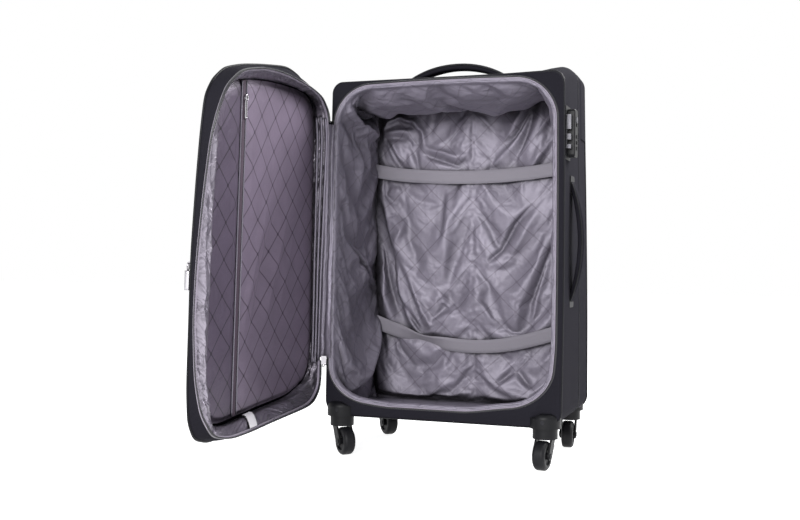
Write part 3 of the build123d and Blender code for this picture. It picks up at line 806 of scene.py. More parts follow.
def studs(name, paths, spacing, size, material, closed=False):
    """Studs along paths; size holds the half sizes across, across and along the path, in mm."""
    curve = bpy.data.curves.new(name, "CURVE")
    curve.dimensions = "3D"
    for path in paths:
        spline = curve.splines.new("POLY")
        spline.points.add(len(path) - 1)
        points = np.concatenate([np.asarray(path) * MM, np.ones((len(path), 1))], axis=1)
        spline.points.foreach_set("co", points.ravel())
        spline.use_cyclic_u = closed
    source = bpy.data.objects.new(name + " path", curve)
    bpy.context.scene.collection.objects.link(source)
    modifier = source.modifiers.new("studs", "NODES")
    tree = stud_tree()
    modifier.node_group = tree
    values = {"Spacing": spacing * MM, "Stud size": [s * MM for s in size], "Finish": material}
    for item in tree.interface.items_tree:
        if item.in_out == "INPUT" and item.name in values:
            modifier[item.identifier] = values[item.name]
    mesh = evaluated_mesh(source)
    bpy.data.objects.remove(source)
    mesh.name = name
    piece = bpy.data.objects.new(name, mesh)
    bpy.context.scene.collection.objects.link(piece)
    return piece


# Pieces


def case_loop(grow):
    """The outline of the case, grown by the given distance."""
    low, high = (
        rounded_loop(2 * (HALF + grow), TOP - BOTTOM + 2 * grow, mm(radius) + grow, (0, MIDDLE))
        for radius in (sizes().corner, sizes().top_corner)
    )
    return np.where(low[:, 1:2] < MIDDLE, low, high)


def mouth_loop(grow):
    """The outline of the opening, grown by the given distance: drawn in on the right and bowed at its ends."""
    low = BOTTOM + mm(sizes().bottom_border) - grow
    high = TOP - mm(sizes().top_border) + grow
    width = 2 * (HALF - mm(sizes().side_border) + grow)
    loop = rounded_loop(width, high - low, mm(sizes().mouth_corner) + grow, (0, (low + high) / 2))
    x, z = loop[:, 0] / HALF, (loop[:, 1] - MIDDLE) / (TOP - MIDDLE)
    # Its foot rises towards both sides, its top dips towards them, and its right side stands in
    under, over = smooth((-z - 0.5) / 0.4), smooth((z - 0.5) / 0.4)
    loop[:, 1] += under * (13 * smooth((x - 0.2) / 0.6) + 7 * smooth((-x - 0.4) / 0.4)) - over * (1.5 + 5 * x**2)
    loop[:, 0] -= smooth(x / 0.5) * (4.2 + 6 * under)
    return loop


# Distance of the piping and of its stitches from the front and back edges, and of the gusset's seam from the front
PIPING_INSET = 6
STITCH_INSET = 10.5
GUSSET_SEAM = 165
# Reach of the back corner guards along the top, down the side and over the gusset
GUARD_ALONG, GUARD_DOWN, GUARD_DEEP = 62, 102, 68


class SUITCASE_OT_shell(bpy.types.Operator):
    """Make the soft shell of the case with its piping, seams and corner guards"""

    bl_idname = "suitcase.shell"
    bl_label = "Shell"

    def execute(self, context):
        fabric = woven_polyester()
        rings = []
        # The back panel swells a little; then come the gusset, the front rim and the turn into the opening
        for inset in (200, 160, 110, 60, 25, 8):
            radius = max(28 - inset * 0.12, 4)
            loop = rounded_loop(2 * (HALF - inset), TOP - BOTTOM - 2 * inset, radius, (0, MIDDLE))
            rings.append(ring(loop, BACK + 1.5 * min(1, inset / 60)))
        rings.append(ring(case_loop(-2), BACK - 0.6))
        rings.append(ring(case_loop(-0.2), BACK - 3))
        for t in np.linspace(0, 1, 24):
            bulge = 0.8 * math.sin(math.pi * t)
            rings.append(ring(case_loop(bulge), BACK - PIPING_INSET + (FRONT - BACK + 2 * PIPING_INSET) * t))
        rings.append(ring(case_loop(-0.2), FRONT + 3))
        rings.append(ring(case_loop(-2), FRONT + 0.6))
        outer, inner = case_loop(-3.2), mouth_loop(1.2)
        for t in (0, 0.25, 0.5, 0.75, 1):
            blend = outer * (1 - t) + inner * t
            rings.append(ring(blend, FRONT - 0.6 * math.sin(math.pi * t)))
        rings.append(ring(mouth_loop(0.4), FRONT + 0.8))
        rings.append(ring(mouth_loop(0.4), FRONT + 6))
        shell = skin("case_shell", slump(rings), fabric)
        fill_ring(shell, 0, len(outer))
        settle(shell, "case", "woven_polyester", "side_gusset", "front_rim", "back_panel", "gusset_board")

        vinyl = piping_vinyl()
        radius = mm(sizes().piping)
        cords = [
            cord(f"piping_{n}", slump(ring(case_loop(-0.6), y)), radius, vinyl, closed=True)
            for n, y in enumerate((FRONT + PIPING_INSET, BACK - PIPING_INSET))
        ]
        seam_y = FRONT + GUSSET_SEAM
        seam = cord("gusset_seam", slump(ring(case_loop(0.5), seam_y)), 0.9, vinyl, sides=6, closed=True)
        settle(join("edge_piping_cords", *cords, seam), "case", "piping", "edge_piping")
        depths = (FRONT + STITCH_INSET, BACK - STITCH_INSET, seam_y - 3, seam_y + 3)
        rows = [slump(ring(case_loop(0.9), y)) for y in depths]
        settle(studs("gusset_stitches", rows, 3.6, (0.35, 0.35, 1.3), vinyl, closed=True), "case", "piping")

        guards = []
        loop = case_loop(2.0)
        for side in (1, -1):
            strip = loop[(side * loop[:, 0] > HALF - GUARD_ALONG) & (loop[:, 1] > TOP - GUARD_DOWN)]
            sheet = []
            for y in np.linspace(BACK - GUARD_DEEP, BACK - 8, 12):
                # The front edge of a guard is turned down over 4 mm
                turned = 1.6 * (1 - min(1, (y - BACK + GUARD_DEEP) / 4))
                sheet.append(ring(strip[:, :2] - strip[:, 2:] * turned, y))
            guards.append(skin(f"guard_{side}", slump(sheet), fabric, closed=False))
        settle(join("back_corner_guards", *guards), "case", "woven_polyester", "corner_guards")
        return {"FINISHED"}


# The lip of the lining: how far it stands outside the opening and behind the front, as it rolls over the edge with
# a sewn groove and hangs back
LIP = ((1, -1.2), (-1, -2.4), (-2.5, -2.2), (-3.1, -0.9), (-3.7, -2), (-5.4, -0.6), (-6.6, 2.5), (-7, 7), (-6.5, 12))
# Gap between the outside of the case and the lining, with the boards between them
LINING_INSET = 6.2
# How far the lining stands proud of the back board and of its own place in the walls, at most
BACK_SLACK, WALL_SLACK = 30, 26


def back_seam(z):
    """The place across of the seam down the back of the lining, a little off upright."""
    return -4 + (648 - z) * 0.023


class SUITCASE_OT_lining(bpy.types.Operator):
    """Make the wrinkled satin lining of the body with its edge binding"""

    bl_idname = "suitcase.lining"
    bl_label = "Body lining"

    def execute(self, context):
        satin = lining_satin()
        back_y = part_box("lining_back")[0].y / MM
        self.walls(satin, back_y)
        self.back_sheet(satin, back_y)
        edge = slump(ring(mouth_loop(0.6), FRONT - 1.8))
        settle(cord("mouth_binding", edge, 0.9, binding_tape(), sides=8, closed=True), "case", "lining_satin")
        return {"FINISHED"}

    def walls(self, satin, back_y):
        """The lining of the gusset, from the lip round the opening to the back, hung in folds off the walls."""
        wall = rounded_loop(2 * (HALF - LINING_INSET), TOP - BOTTOM - 2 * LINING_INSET, 22, (0, MIDDLE))
        outward = np.stack([wall[:, 2], np.zeros(len(wall)), wall[:, 3]], axis=1)
        rings = []
        for number, (grow, step) in enumerate(LIP):
            row = ring(mouth_loop(grow), FRONT + step)
            place = np.arange(len(row)) * 6.0
            row[:, 1] += 2.4 * ripple(place, np.full(len(row), number * 2.0), 14, 8.4) * min(1, number / 2)
            rings.append(row)
        # Behind the lip the rings stand closer together, where the lining opens out to the walls
        for y in np.concatenate([np.linspace(FRONT + 16, FRONT + 52, 12), np.linspace(FRONT + 58, back_y + 3, 38)]):
            t = smooth((y - FRONT - 12) / 40)
            rings.append(ring(mouth_loop(LIP[-1][0]) * (1 - t) + wall * t, y))
        rings = np.array(rings)
        around = np.arange(rings.shape[1]) * 10.0
        where_x, where_y = np.meshgrid(around, rings[:, 0, 1])
        left, top = np.clip(-wall[:, 2], 0, 1), np.clip(wall[:, 3], 0, 1)
        lift = 2 + 5.0 * ripple(where_x, where_y, 80, 3.1) + 2.5 * ripple(where_x, where_y, 30, 6.1)
        lift = lift + self.wall_folds(where_y, rings[..., 2]) * left
        lift = lift + self.top_folds(rings[..., 0], where_y) * top
        # The top sags towards the back
        lift = lift + 8 * smooth((where_y - FRONT - 20) / 150) * top**2
        free = np.clip((where_y - FRONT - 14) / 40, 0, 1) * np.clip((back_y + 4 - where_y) / 12, 0, 1)
        lift = lift * free * sizes().wrinkle
        rings -= lift[..., None] * outward
        sides = skin("lining_walls", slump(rings), satin, flip=True)
        held = np.where((where_y < FRONT + 13) | (where_y > back_y), 1.0, 0.0).ravel()
        let_hang(sides, held, 0.06)
        normal = np.tile(outward, (rings.shape[0], 1))
        still = slump(rings).reshape(-1, 3)

        def keep_inside(points):
            out = ((points - still) * normal).sum(axis=1)
            outside = np.clip(out - lift.ravel() - 0.8, 0, None)
            inside = np.clip(-WALL_SLACK - out, 0, None)
            return points - normal * outside[:, None] + normal * inside[:, None]

        reshape(sides, keep_inside)
        refine(sides)
        settle(sides, "case", "lining_satin", "body_lining")

    def back_sheet(self, satin, back_y):
        """The loose lining of the back, held at its edges and along its seam, and by the straps that cross it."""
        edge_x, low, high = HALF - LINING_INSET, BOTTOM + LINING_INSET, TOP - LINING_INSET
        x, z = np.meshgrid(np.linspace(-edge_x, edge_x, 92), np.linspace(low, high, 130))
        height = self.back_folds(x, z) * sizes().wrinkle
        grid = np.stack([x, back_y - 1 - height, z], axis=2)
        flat = np.stack([x, z], axis=2)
        back = skin("lining_back_sheet", slump(grid), satin, closed=False, uv=flat)
        held = np.where((np.abs(x) > edge_x - 3) | (z < low + 3) | (z > high - 3), 1.0, 0.0)
        held = np.maximum(held, np.where(np.abs(x - back_seam(z)) < 3, 0.35, 0.0)).ravel()
        let_hang(back, held, 0.03)
        strap_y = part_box("tie_straps")[0].y / MM

        def keep_off_board(points):
            nearest = np.full(len(points), back_y - BACK_SLACK)
            for strap in (UPPER_STRAP, LOWER_STRAP):
                under = np.exp(-(((points[:, 2] - strap_line(strap)(points[:, 0])) / 22) ** 4))
                nearest = np.maximum(nearest, (back_y - BACK_SLACK) * (1 - under) + (strap_y - 2.5) * under)
            # Where the sheet would bulge behind its board it folds forward
            points[:, 1] = np.maximum(back_y - 0.6 - np.abs(back_y - 0.6 - points[:, 1]), nearest)
            return points

        reshape(back, keep_off_board)
        refine(back)
        settle(back, "case", "lining_satin", "lining_back")

    def back_folds(self, x, z):
        """Height of the loose back sheet: sewn folds, a puckered middle seam and crumples between them."""
        off = np.abs(x - back_seam(z))
        # It lies flat at its sewn edges and rises over 14 mm
        left, right, foot, top, run = -208, 208, 78, 667, 14
        edge = np.clip(np.minimum(np.minimum(x - left, right - x), np.minimum(z - foot, top - z)) / run, 0, 1)
        h = 8 + 4.0 * ripple(x, z * 0.6, 120, 1.7)
        h = h + 3.6 * (0.6 - creases(x + 20 * ripple(z, x, 90, 4.4), z * 0.8, 62, 5.5)) * np.clip(off / 50, 0.3, 1)
        ridges = (
            (((108, 663), (93, 635), (74, 601), (54, 587)), 12, 9, -0.3),
            (((126, 665), (116, 634), (100, 607), (77, 577), (48, 552), (27, 528)), 5, -12, 0),
            (((141, 660), (132, 626), (115, 594), (92, 564), (64, 540)), 12, 9, 0.3),
            (((156, 582), (132, 556), (115, 537)), 10, 9, -0.5),
            (((170, 640), (150, 615), (132, 600)), 9, 8, -0.5),
            (((116, 466), (87, 428), (58, 376), (18, 343)), 5, -10, 0),
            (((127, 460), (101, 420), (72, 370), (36, 335)), 11, 8, 0.2),
            (((143, 416), (128, 361), (100, 292), (85, 220)), 22, 15, -0.45),
            (((160, 400), (150, 368), (124, 284), (108, 217)), 6, -6, 0),
            (((30, 331), (13, 276), (5, 233)), 16, 10, -0.45),
            (((-77, 308), (-54, 277), (-25, 246)), 16, 11, -0.45),
            (((116, 190), (87, 151), (50, 119)), 4.5, -9, 0),
            (((87, 151), (119, 114)), 4.5, -8, 0),
            (((-203, 389), (-196, 332), (-186, 282), (-165, 237)), 13, 14, -0.35),
            (((-172, 381), (-165, 322), (-152, 263), (-146, 243)), 9, -7, 0),
            (((-158, 351), (-148, 293), (-124, 243)), 9, 8, -0.3),
            (((-142, 275), (-120, 244), (-95, 214)), 4, -7, 0),
            (((-138, 329), (-119, 283), (-93, 217)), 4, -7, 0),
            (((-129, 329), (-106, 274), (-80, 225)), 10, 8, -0.3),
            (((-180, 210), (-177, 168), (-174, 128)), 3.5, -6, 0),
            (((-171, 208), (-167, 130)), 3.5, -6, 0),
            (((-162, 206), (-155, 168)), 3.5, -6, 0),
            (((-200, 608), (-188, 630), (-162, 639), (-130, 632), (-109, 611), (-103, 581)), 6, 9, 0),
            (((-200, 606), (-162, 611), (-117, 612)), 5, 8, 0),
            (((-198, 598), (-160, 602), (-117, 603)), 5, -6, 0),
            (((-145, 604), (-126, 592), (-109, 580)), 4, -6, 0),
            (((-109, 582), (-67, 569), (-36, 559), (-6, 562)), 6, 8, 0),
            (((-109, 571), (-67, 557), (-36, 546), (-6, 548)), 5, -7, 0),
            (((-189, 594), (-168, 547)), 6, -7, 0),
            (((-176, 597), (-154, 553)), 7, 7, -0.3),
            (((-134, 596), (-115, 540)), 7, -7, 0),
            (((-52, 499), (-51, 393), (-56, 295)), 9, 8, -0.3),
            (((-64, 499), (-63, 393)), 6, -6, 0),
            (((-190, 483), (-150, 499)), 9, -8, 0),
            (((-139, 443), (-166, 373)), 10, 8, -0.3),
        )
        h = with_folds(h, x, z, ((path, width, 1.5 * rise, lean) for path, width, rise, lean in ridges))
        pucker = ripple(x * 1.2, z * 1.9 + off * 0.8, 17, 9.3, 2)
        h = h + 4.2 * np.abs(pucker) * np.exp(-((off / 34) ** 2)) - 3.0 * np.exp(-((off / 2.2) ** 2))
        return np.clip(h, 0, 28) * edge

    def wall_folds(self, y, z):
        """Height of the left wall's folds: slanted tucks, a large slack fold at the foot and its shadow."""
        tucks = (
            (((-91, 634), (-21, 619), (59, 601), (88, 574)), 12, 16, -0.3),
            (((-81, 395), (-35, 367), (17, 329), (79, 286)), 9, 18, -0.3),
            (((-64, 396), (-22, 369), (28, 333), (84, 294)), 6, -12, 0),
            (((-46, 396), (-10, 371), (39, 336), (89, 302)), 9, 18, -0.3),
            (((95, 232), (42, 190), (-10, 150), (-90, 100)), 34, 44, -0.6),
            (((-16, 602), (6, 566), (35, 490)), 12, 13, -0.3),
            (((-51, 588), (-24, 534), (-8, 487)), 11, 12, -0.3),
            (((-58, 484), (-37, 438), (-5, 391)), 11, 12, -0.3),
        )
        return with_folds(np.zeros(np.shape(y)), y, z, tucks)

    def top_folds(self, x, y):
        """Height of the top wall's folds: a slack roll near the opening on the right, and tucks towards the back."""
        tucks = (
            (((10, -92), (70, -98), (160, -96)), 15, 13),
            (((60, -60), (120, -66), (180, -80)), 9, -8),
            (((-60, -85), (-35, -30), (-10, 60)), 10, 12),
            (((-30, -80), (-12, -20), (10, 60)), 7, -8),
            (((-170, -90), (-150, -20), (-160, 60)), 14, 10),
            (((90, -30), (60, 20), (40, 70)), 12, 10),
        )
        return with_folds(np.zeros(np.shape(y)), x, y, tucks)


# Middle lines of the tie straps across the compartment: place across and height
UPPER_STRAP = ((-209, 534), (-195, 530), (-131, 521), (-7, 515), (73, 518), (151, 526), (208, 534))
LOWER_STRAP = ((-209, 233), (-197, 228), (-149, 212), (-65, 192), (36, 187), (96, 197), (154, 213), (208, 230))


def strap_line(points):
    """The height of a strap's middle as a smooth function of the place across."""
    x, z = zip(*points)
    return np.polynomial.Polynomial.fit(x, z, 5)


class SUITCASE_OT_straps(bpy.types.Operator):
    """Make the two slack elastic tie straps"""

    bl_idname = "suitcase.straps"
    bl_label = "Tie straps"

    def execute(self, context):
        width = mm(sizes().strap_width)
        elastic = strap_elastic()
        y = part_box("tie_straps")[0].y / MM
        pieces = []
        for name, points, twist in (("upper", UPPER_STRAP, 0.15), ("lower", LOWER_STRAP, 0.9)):
            xs = np.linspace(points[0][0], points[-1][0], 90)
            zs = strap_line(points)(xs)
            slope = np.gradient(zs, xs)
            turn = twist * np.exp(-(((xs + 95) / 40) ** 2))
            # The straps stand 5 mm off their board and sag 2.5 mm further towards the opening in the middle
            middle_y = y - 5 - 2.5 * np.sin(math.pi * (xs - xs[0]) / (xs[-1] - xs[0]))
            rings = []
            across = np.array([-0.5, -0.49, -0.25, 0, 0.25, 0.49, 0.5]) * width
            for face in (1, -1):
                rows = []
                for a in across:
                    lift = face * (0.7 if abs(a) < 0.495 * width else 0.15)
                    up = a * np.cos(turn)
                    rows.append(np.stack([xs - slope * up * 0.9, middle_y - a * np.sin(turn) - lift, zs + up], axis=1))
                rings += rows if face == 1 else rows[::-1]
            rings.append(rings[0])
            strap = skin(f"{name}_strap", np.transpose(np.array(rings), (1, 0, 2)), elastic, closed=False)
            pieces.append(strap)
        straps = join("tie_strap_pair", *pieces)
        close_holes(straps, 20)
        settle(straps, "case", "strap_elastic", "tie_straps")
        return {"FINISHED"}


# The soft lid droops and its free edge rolls back. Its rim, the edge of its lining panel and its outer edge are given
# as reach from the hinge, height and depth at matching stations, from the middle of the bottom past the free edge.
LID_RIM = (
    (217, -284, 1), (310, -279, 1), (380, -274, 3), (424, -262, 10), (444, -226, 21), (450, -175, 29),
    (453, -90, 33), (454, 0, 31), (452, 95, 25), (447, 168, 20), (440, 205, 15), (424, 242, 10),
    (385, 269, 4), (300, 280, 4), (217, 280, 4), (113, 271, 2), (55, 259, 1), (18, 232, 0),
    (4, 185, 0), (4, 60, 0), (4, -70, 0), (4, -195, -2), (5, -266, -4), (45, -293, -2),
)
LID_PANEL = (
    (217, -264, 27), (295, -262, 28), (355, -260, 28), (396, -250, 28), (410, -222, 28), (414, -165, 28),
    (415, -90, 28), (415, 0, 28), (415, 95, 28), (413, 170, 28), (408, 218, 28), (386, 246, 28),
    (340, 257, 28), (280, 263, 28), (210, 266, 28), (120, 265, 27), (60, 260, 26), (22, 246, 26),
    (10, 185, 25), (10, 60, 21), (10, -70, 17), (10, -195, 13), (18, -250, 13), (90, -268, 20),
)
LID_EDGE = (
    (217, -292, 44), (300, -290, 45), (362, -288, 46), (408, -273, 46), (427, -244, 47), (434, -190, 47),
    (436, -100, 46), (438, 0, 46), (431, 97, 46), (423, 174, 46), (414, 228, 46), (391, 253, 46),
    (355, 272, 46), (295, 283, 46), (222, 291, 46), (114, 300, 44), (50, 288, 42), (18, 252, 40),
    (6, 185, 40), (6, 60, 39), (6, -70, 38), (6, -195, 37), (14, -258, 38), (80, -288, 42),
)
LID_MIDDLE = np.array((214.0, 0.0, 0.0))


def lid_curve(stations):
    """A smooth closed curve through the stations of the lid, and its outward normals across the lid."""
    points = np.array(stations, float)
    steps, passes = 9, 8
    t = np.arange(steps)[None, :, None] / steps
    curve = (points[:, None] * (1 - t) + np.roll(points, -1, axis=0)[:, None] * t).reshape(-1, 3)
    for _ in range(passes):
        curve = (np.roll(curve, 1, axis=0) + 2 * curve + np.roll(curve, -1, axis=0)) / 4
    along = np.roll(curve, -1, axis=0) - np.roll(curve, 1, axis=0)
    normal = np.stack([along[:, 1], -along[:, 0], np.zeros(len(along))], axis=1)
    return curve, normal / np.linalg.norm(normal, axis=1)[:, None]


def lid_inner(t, lift=0.0):
    """A ring of the lid's gusset lining: t runs from 0 at the rim to 1 at the panel; lift raises it inwards."""
    rim, normal = lid_curve(LID_RIM)
    panel, _ = lid_curve(LID_PANEL)
    run = panel - rim
    across = (run * normal).sum(axis=1)[:, None]
    inward = -run[:, 2:] * normal + across * np.array((0, 0, 1.0))
    inward /= np.linalg.norm(inward, axis=1)[:, None]
    return rim + run * t + inward * lift


def lid_outer(t, swell=0.0):
    """A ring of the lid's outer gusset: t runs from 0 at the outer edge to 1 at the rim, and on past it."""
    rim, normal = lid_curve(LID_RIM)
    edge, _ = lid_curve(LID_EDGE)
    return edge + (rim - edge) * t + normal * swell


def off_hinge(row):
    """The run of a ring of the lid that is clear of the hinge."""
    rim, _ = lid_curve(LID_RIM)
    hinge_reach, hinge_half = 14, 212
    clear = (rim[:, 0] > hinge_reach) | (np.abs(rim[:, 1]) > hinge_half)
    first = int(np.argmax(clear & ~np.roll(clear, 1)))
    return np.roll(row, -first, axis=0)[: clear.sum()]


# Width of the lid's gusset lining, and the depths at which the lining panel and the outer panel lie
GUSSET_RUN, PANEL_DEPTH, OUTER_DEPTH = 33, 28, 50


def pocket_zip(v):
    """Reach from the hinge of the near edge of the lid's pocket zip, at a height: a little off upright."""
    return 316 + (v - 240) * 0.02


def lid_path(u, v, w):
    """A path on the open lid. Reach, height and depth are arrays, or numbers where they stay the same."""
    return lid_place(np.stack(np.broadcast_arrays(u, v, w), axis=1))


class SUITCASE_OT_lid(bpy.types.Operator):
    """Make the lid: padded outer panel, soft gusset, lining, binding and zip half"""

    bl_idname = "suitcase.lid"
    bl_label = "Lid"

    def execute(self, context):
        fabric = woven_polyester()
        self.outer(fabric)
        self.front_pocket(fabric)
        self.lining()
        binding = cord("lid_binding", lid_place(lid_inner(0.02, 1.2)), 2.3, binding_tape(), closed=True)
        settle(binding, "lid", "lining_satin")
        self.zip_half(zip_nylon())
        return {"FINISHED"}

    def outer(self, fabric):
        """The outer gusset, from the rim to the edge, and the padded outer panel."""
        rings = [lid_outer(t, 1.5 * math.sin(math.pi * t)) for t in np.linspace(1, 0, 12)]
        edge, _ = lid_curve(LID_EDGE)
        for scale in (0.992, 0.975, 0.94, 0.86, 0.7, 0.5, 0.3, 0.12, 0.03):
            row = LID_MIDDLE + (edge - LID_MIDDLE) * scale
            row[:, 2] = edge[:, 2] * scale**2 + OUTER_DEPTH * (1 - scale**2) + 2.0 * min(1, (1 - scale) / 0.02)
            rings.append(row)
        shell = skin("lid_shell", lid_place(rings), fabric)
        fill_ring(shell, (len(rings) - 1) * len(edge), len(edge))
        settle(shell, "lid", "woven_polyester", "lid_panel", "lid_gusset")

    def lining(self):
        """The lining of the lid: its panel, in satin with painted shade that is much darker beyond the pocket zip, and
        the puffed gusset round it, in paler satin that is painted light.
        """
        panel_edge, _ = lid_curve(LID_PANEL)
        # A deep seam runs along the bottom of the panel and a shallow one along its top
        seam = 4.5 * smooth((-215 - panel_edge[:, 1]) / 25) + 2 * smooth((panel_edge[:, 1] - 225) / 25)
        gusset = self.gusset(panel_edge, seam)
        rings = []
        near_edge = np.concatenate([np.linspace(1, 0.95, 9), np.linspace(0.94, 0.9, 4)])
        for scale in np.concatenate([near_edge, np.linspace(0.88, 0.03, 44), [0.004]]):
            row = LID_MIDDLE + (panel_edge - LID_MIDDLE) * scale
            base = panel_edge[:, 2] * scale**2 + PANEL_DEPTH * (1 - scale**2)
            row[:, 2] = base - self.panel_folds(row[:, 0], row[:, 1]) * min(1, (1 - scale) / 0.06)
            row[:, 2] += seam * smooth((scale - 0.962) / 0.03)
            rings.append(row)
        rings = np.array(rings)
        # The print sits a little off the middle and is drawn a little flatter than square
        flat = np.concatenate([rings, rings[:, :1]], axis=1)[..., :2]
        flat = (flat - (12.9, -8.5)) * (0.98, 1.073)
        panel = skin("lid_lining_panel", lid_place(rings), lid_satin_in_painted_shade(), flip=True, uv=flat)
        # Faces beyond the pocket zip take the satin with painted shade
        panel.data.materials.append(pocket_satin_painted_shade())
        beyond = rings[:-1, :, 0] > pocket_zip(rings[:-1, :, 1]) + 9
        panel.data.polygons.foreach_set("material_index", beyond.ravel().astype(int))
        fill_ring(panel, (len(rings) - 1) * len(panel_edge), len(panel_edge))
        lining = settle(join("lid_lining_satin", panel, gusset), "lid", "lining_satin", "lid_lining")

    def gusset(self, panel_edge, seam):
        """The gusset's lining, puffed up between its two seams."""
        rows = np.linspace(0.03, 1, 16)
        place = np.arange(len(panel_edge)) * 8.6
        where_x, where_t = np.meshgrid(place, rows * GUSSET_RUN)
        puff = 1.2 + 5.0 * np.abs(ripple(where_x, where_t, 38, 2.2)) - 1.6 * creases(where_x, where_t, 30, 3.3)
        puff = puff * np.sin(math.pi * where_t / GUSSET_RUN)
        # At the free edge the gusset rolls forward before it meets the panel
        free = smooth((panel_edge[:, 0] - 380) / 30) * smooth((205 - panel_edge[:, 1]) / 60)
        roll = 5.5 * np.sin(math.pi * (where_t / GUSSET_RUN) ** 1.6)
        puff = puff + free * (roll - 2.2 * np.abs(np.sin(0.24 * where_t + 0.012 * where_x)))
        puff = puff - seam * smooth((where_t / GUSSET_RUN - 0.7) / 0.3)
        taut, raised = (np.array([lid_inner(t, lift) for t in rows]) for lift in (0.0, 1.0))
        return skin("lid_gusset_lining", lid_place(taut + (raised - taut) * puff[..., None]), gusset_satin_painted_light(), flip=True)

    def zip_half(self, nylon):
        """The lid's half of the main zip, which stops short of the hinge."""
        profile = ((0.94, 0.5), (1.0, 1.0), (1.12, 0.6), (1.12, -0.6), (0.98, -1.0))
        band = lid_place([off_hinge(lid_outer(t, swell)) for t, swell in profile])
        zip_band = skin("lid_zip_tape", band, nylon, closed=False)
        teeth = studs("lid_zip_coil", [lid_place(off_hinge(lid_outer(1.13)))], 2.2, (1.2, 1.2, 0.75), nylon)
        settle(join("lid_zip_half", zip_band, teeth), "lid", "zip_tape", "lid_zip")

    def panel_folds(self, x, y):
        """Height of the lid's lining panel over its board: nearly flat, with a few soft slants."""
        h = 1.5 + 2.2 * ripple(x, y * 0.5, 130, 6.2)
        slants = (
            (((123, 55), (170, -40), (213, -140)), 16, 5.0),
            (((165, 75), (218, -35), (265, -150)), 14, -5.0),
            (((208, 90), (256, -25), (303, -145)), 15, 4.5),
            (((95, 20), (130, -60), (160, -120)), 14, 3.0),
            (((350, 190), (345, 0), (338, -220)), 7, 2.5),
        )
        beside = np.abs(x - pocket_zip(y) - 6)
        return np.clip(with_folds(h, x, y, slants), -5, 9) * np.clip((beside - 8) / 24, 0, 1)

    def front_pocket(self, fabric):
        """The padded pocket on the outside of the lid, with piping round it and on the lid's edge."""
        vinyl = piping_vinyl()
        edge, _ = lid_curve(LID_EDGE)
        middle = LID_MIDDLE + np.array((-12.0, 0, 0))
        swell = ((0.905, -2), (0.9, 1), (0.89, 3), (0.87, 4.5), (0.82, 5.5), (0.7, 6.5), (0.5, 7), (0.3, 7), (0.03, 7))
        rings = []
        for scale, rise in swell:
            row = middle + (edge - LID_MIDDLE) * scale
            row[:, 2] = OUTER_DEPTH - 2 + rise
            rings.append(row)
        pocket = skin("pocket_shell", lid_place(rings), fabric)
        fill_ring(pocket, (len(rings) - 1) * len(edge), len(edge))
        row = middle + (edge - LID_MIDDLE) * 0.903
        row[:, 2] = OUTER_DEPTH + 0.5
        welt = cord("pocket_piping", lid_place(row), 2.0, vinyl, closed=True)
        rim = cord("lid_piping", lid_place(lid_outer(0.02, 0.6)), 2.2, vinyl, closed=True)
        settle(join("front_pocket_shell", pocket, welt, rim), "lid", "woven_polyester", "front_pocket")


class SUITCASE_OT_hinge(bpy.types.Operator):
    """Make the fabric hinge between the case and the lid, with its sewn pleats"""

    bl_idname = "suitcase.hinge"
    bl_label = "Fabric hinge"

    def execute(self, context):
        low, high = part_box("lid_hinge")[0].z / MM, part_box("lid_hinge")[1].z / MM
        heights = np.linspace(low, high, 60)
        rows_in, rows_out = [], []
        for z in heights:
            # The inner sheet joins the front rim to the lid's rim, and the outer one, longer at the top, the gussets
            above = z + 8 * smooth((z - high + 30) / 30)
            body = slump(np.array([-HALF + 10.0, FRONT - 3.4, z]))
            lid = lid_place([7.0, (z - HINGE.z) / HINGE_UP.z, 0.6])
            outer_body = slump(np.array([-HALF + 0.4, FRONT + 2.0, above]))
            outer_lid = lid_place([2.2, (above - HINGE.z) / HINGE_UP.z, 3.0])
            t = np.linspace(0, 1, 19)[:, None]
            # Two soft pleats run down the inside, each a little unsteady
            shift = 0.12 * noise.noise((z / 23, 4.2, 0.5)) + 0.06 * noise.noise((z / 7, 1.2, 0.5))
            pleat = np.abs(np.sin(2 * math.pi * np.clip(t + shift * np.sin(math.pi * t), 0, 1)))
            bow = np.sin(math.pi * t)
            rows_in.append(body * (1 - t) + lid * t + bow * (1 - 1.6 * pleat) * np.array([-0.5, 2.5, 0]))
            rows_out.append(outer_body * (1 - t) + outer_lid * t + bow * np.array([-1.5, 6.0, 0]))
        inside = skin("hinge_inside", rows_in, pleat_satin(), closed=False, flip=True)
        outside = skin("hinge_outside", rows_out, woven_polyester(), closed=False)
        sheet = join("fabric_hinge", inside, outside)
        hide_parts("lid_hinge")
        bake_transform(sheet)

        pleats = []
        for n, t in enumerate((0.10, 0.43, 0.76)):
            row = lid_inner(t, 3.0)
            row = row[(row[:, 0] < 40) & (np.abs(row[:, 1]) < 225)]
            wave = np.array([noise.noise((a / 40, n * 3.1, 0.5)) for a in row[:, 1]])
            row[:, 0] += 0.8 * wave
            pleats.append(cord(f"pleat_{n}", lid_place(row), 2.9, pleat_satin(), flat=0.9, facing=tuple(LID_OUT)))
        settle(join("hinge_pleats", *pleats), "lid", "lining_satin")
        return {"FINISHED"}


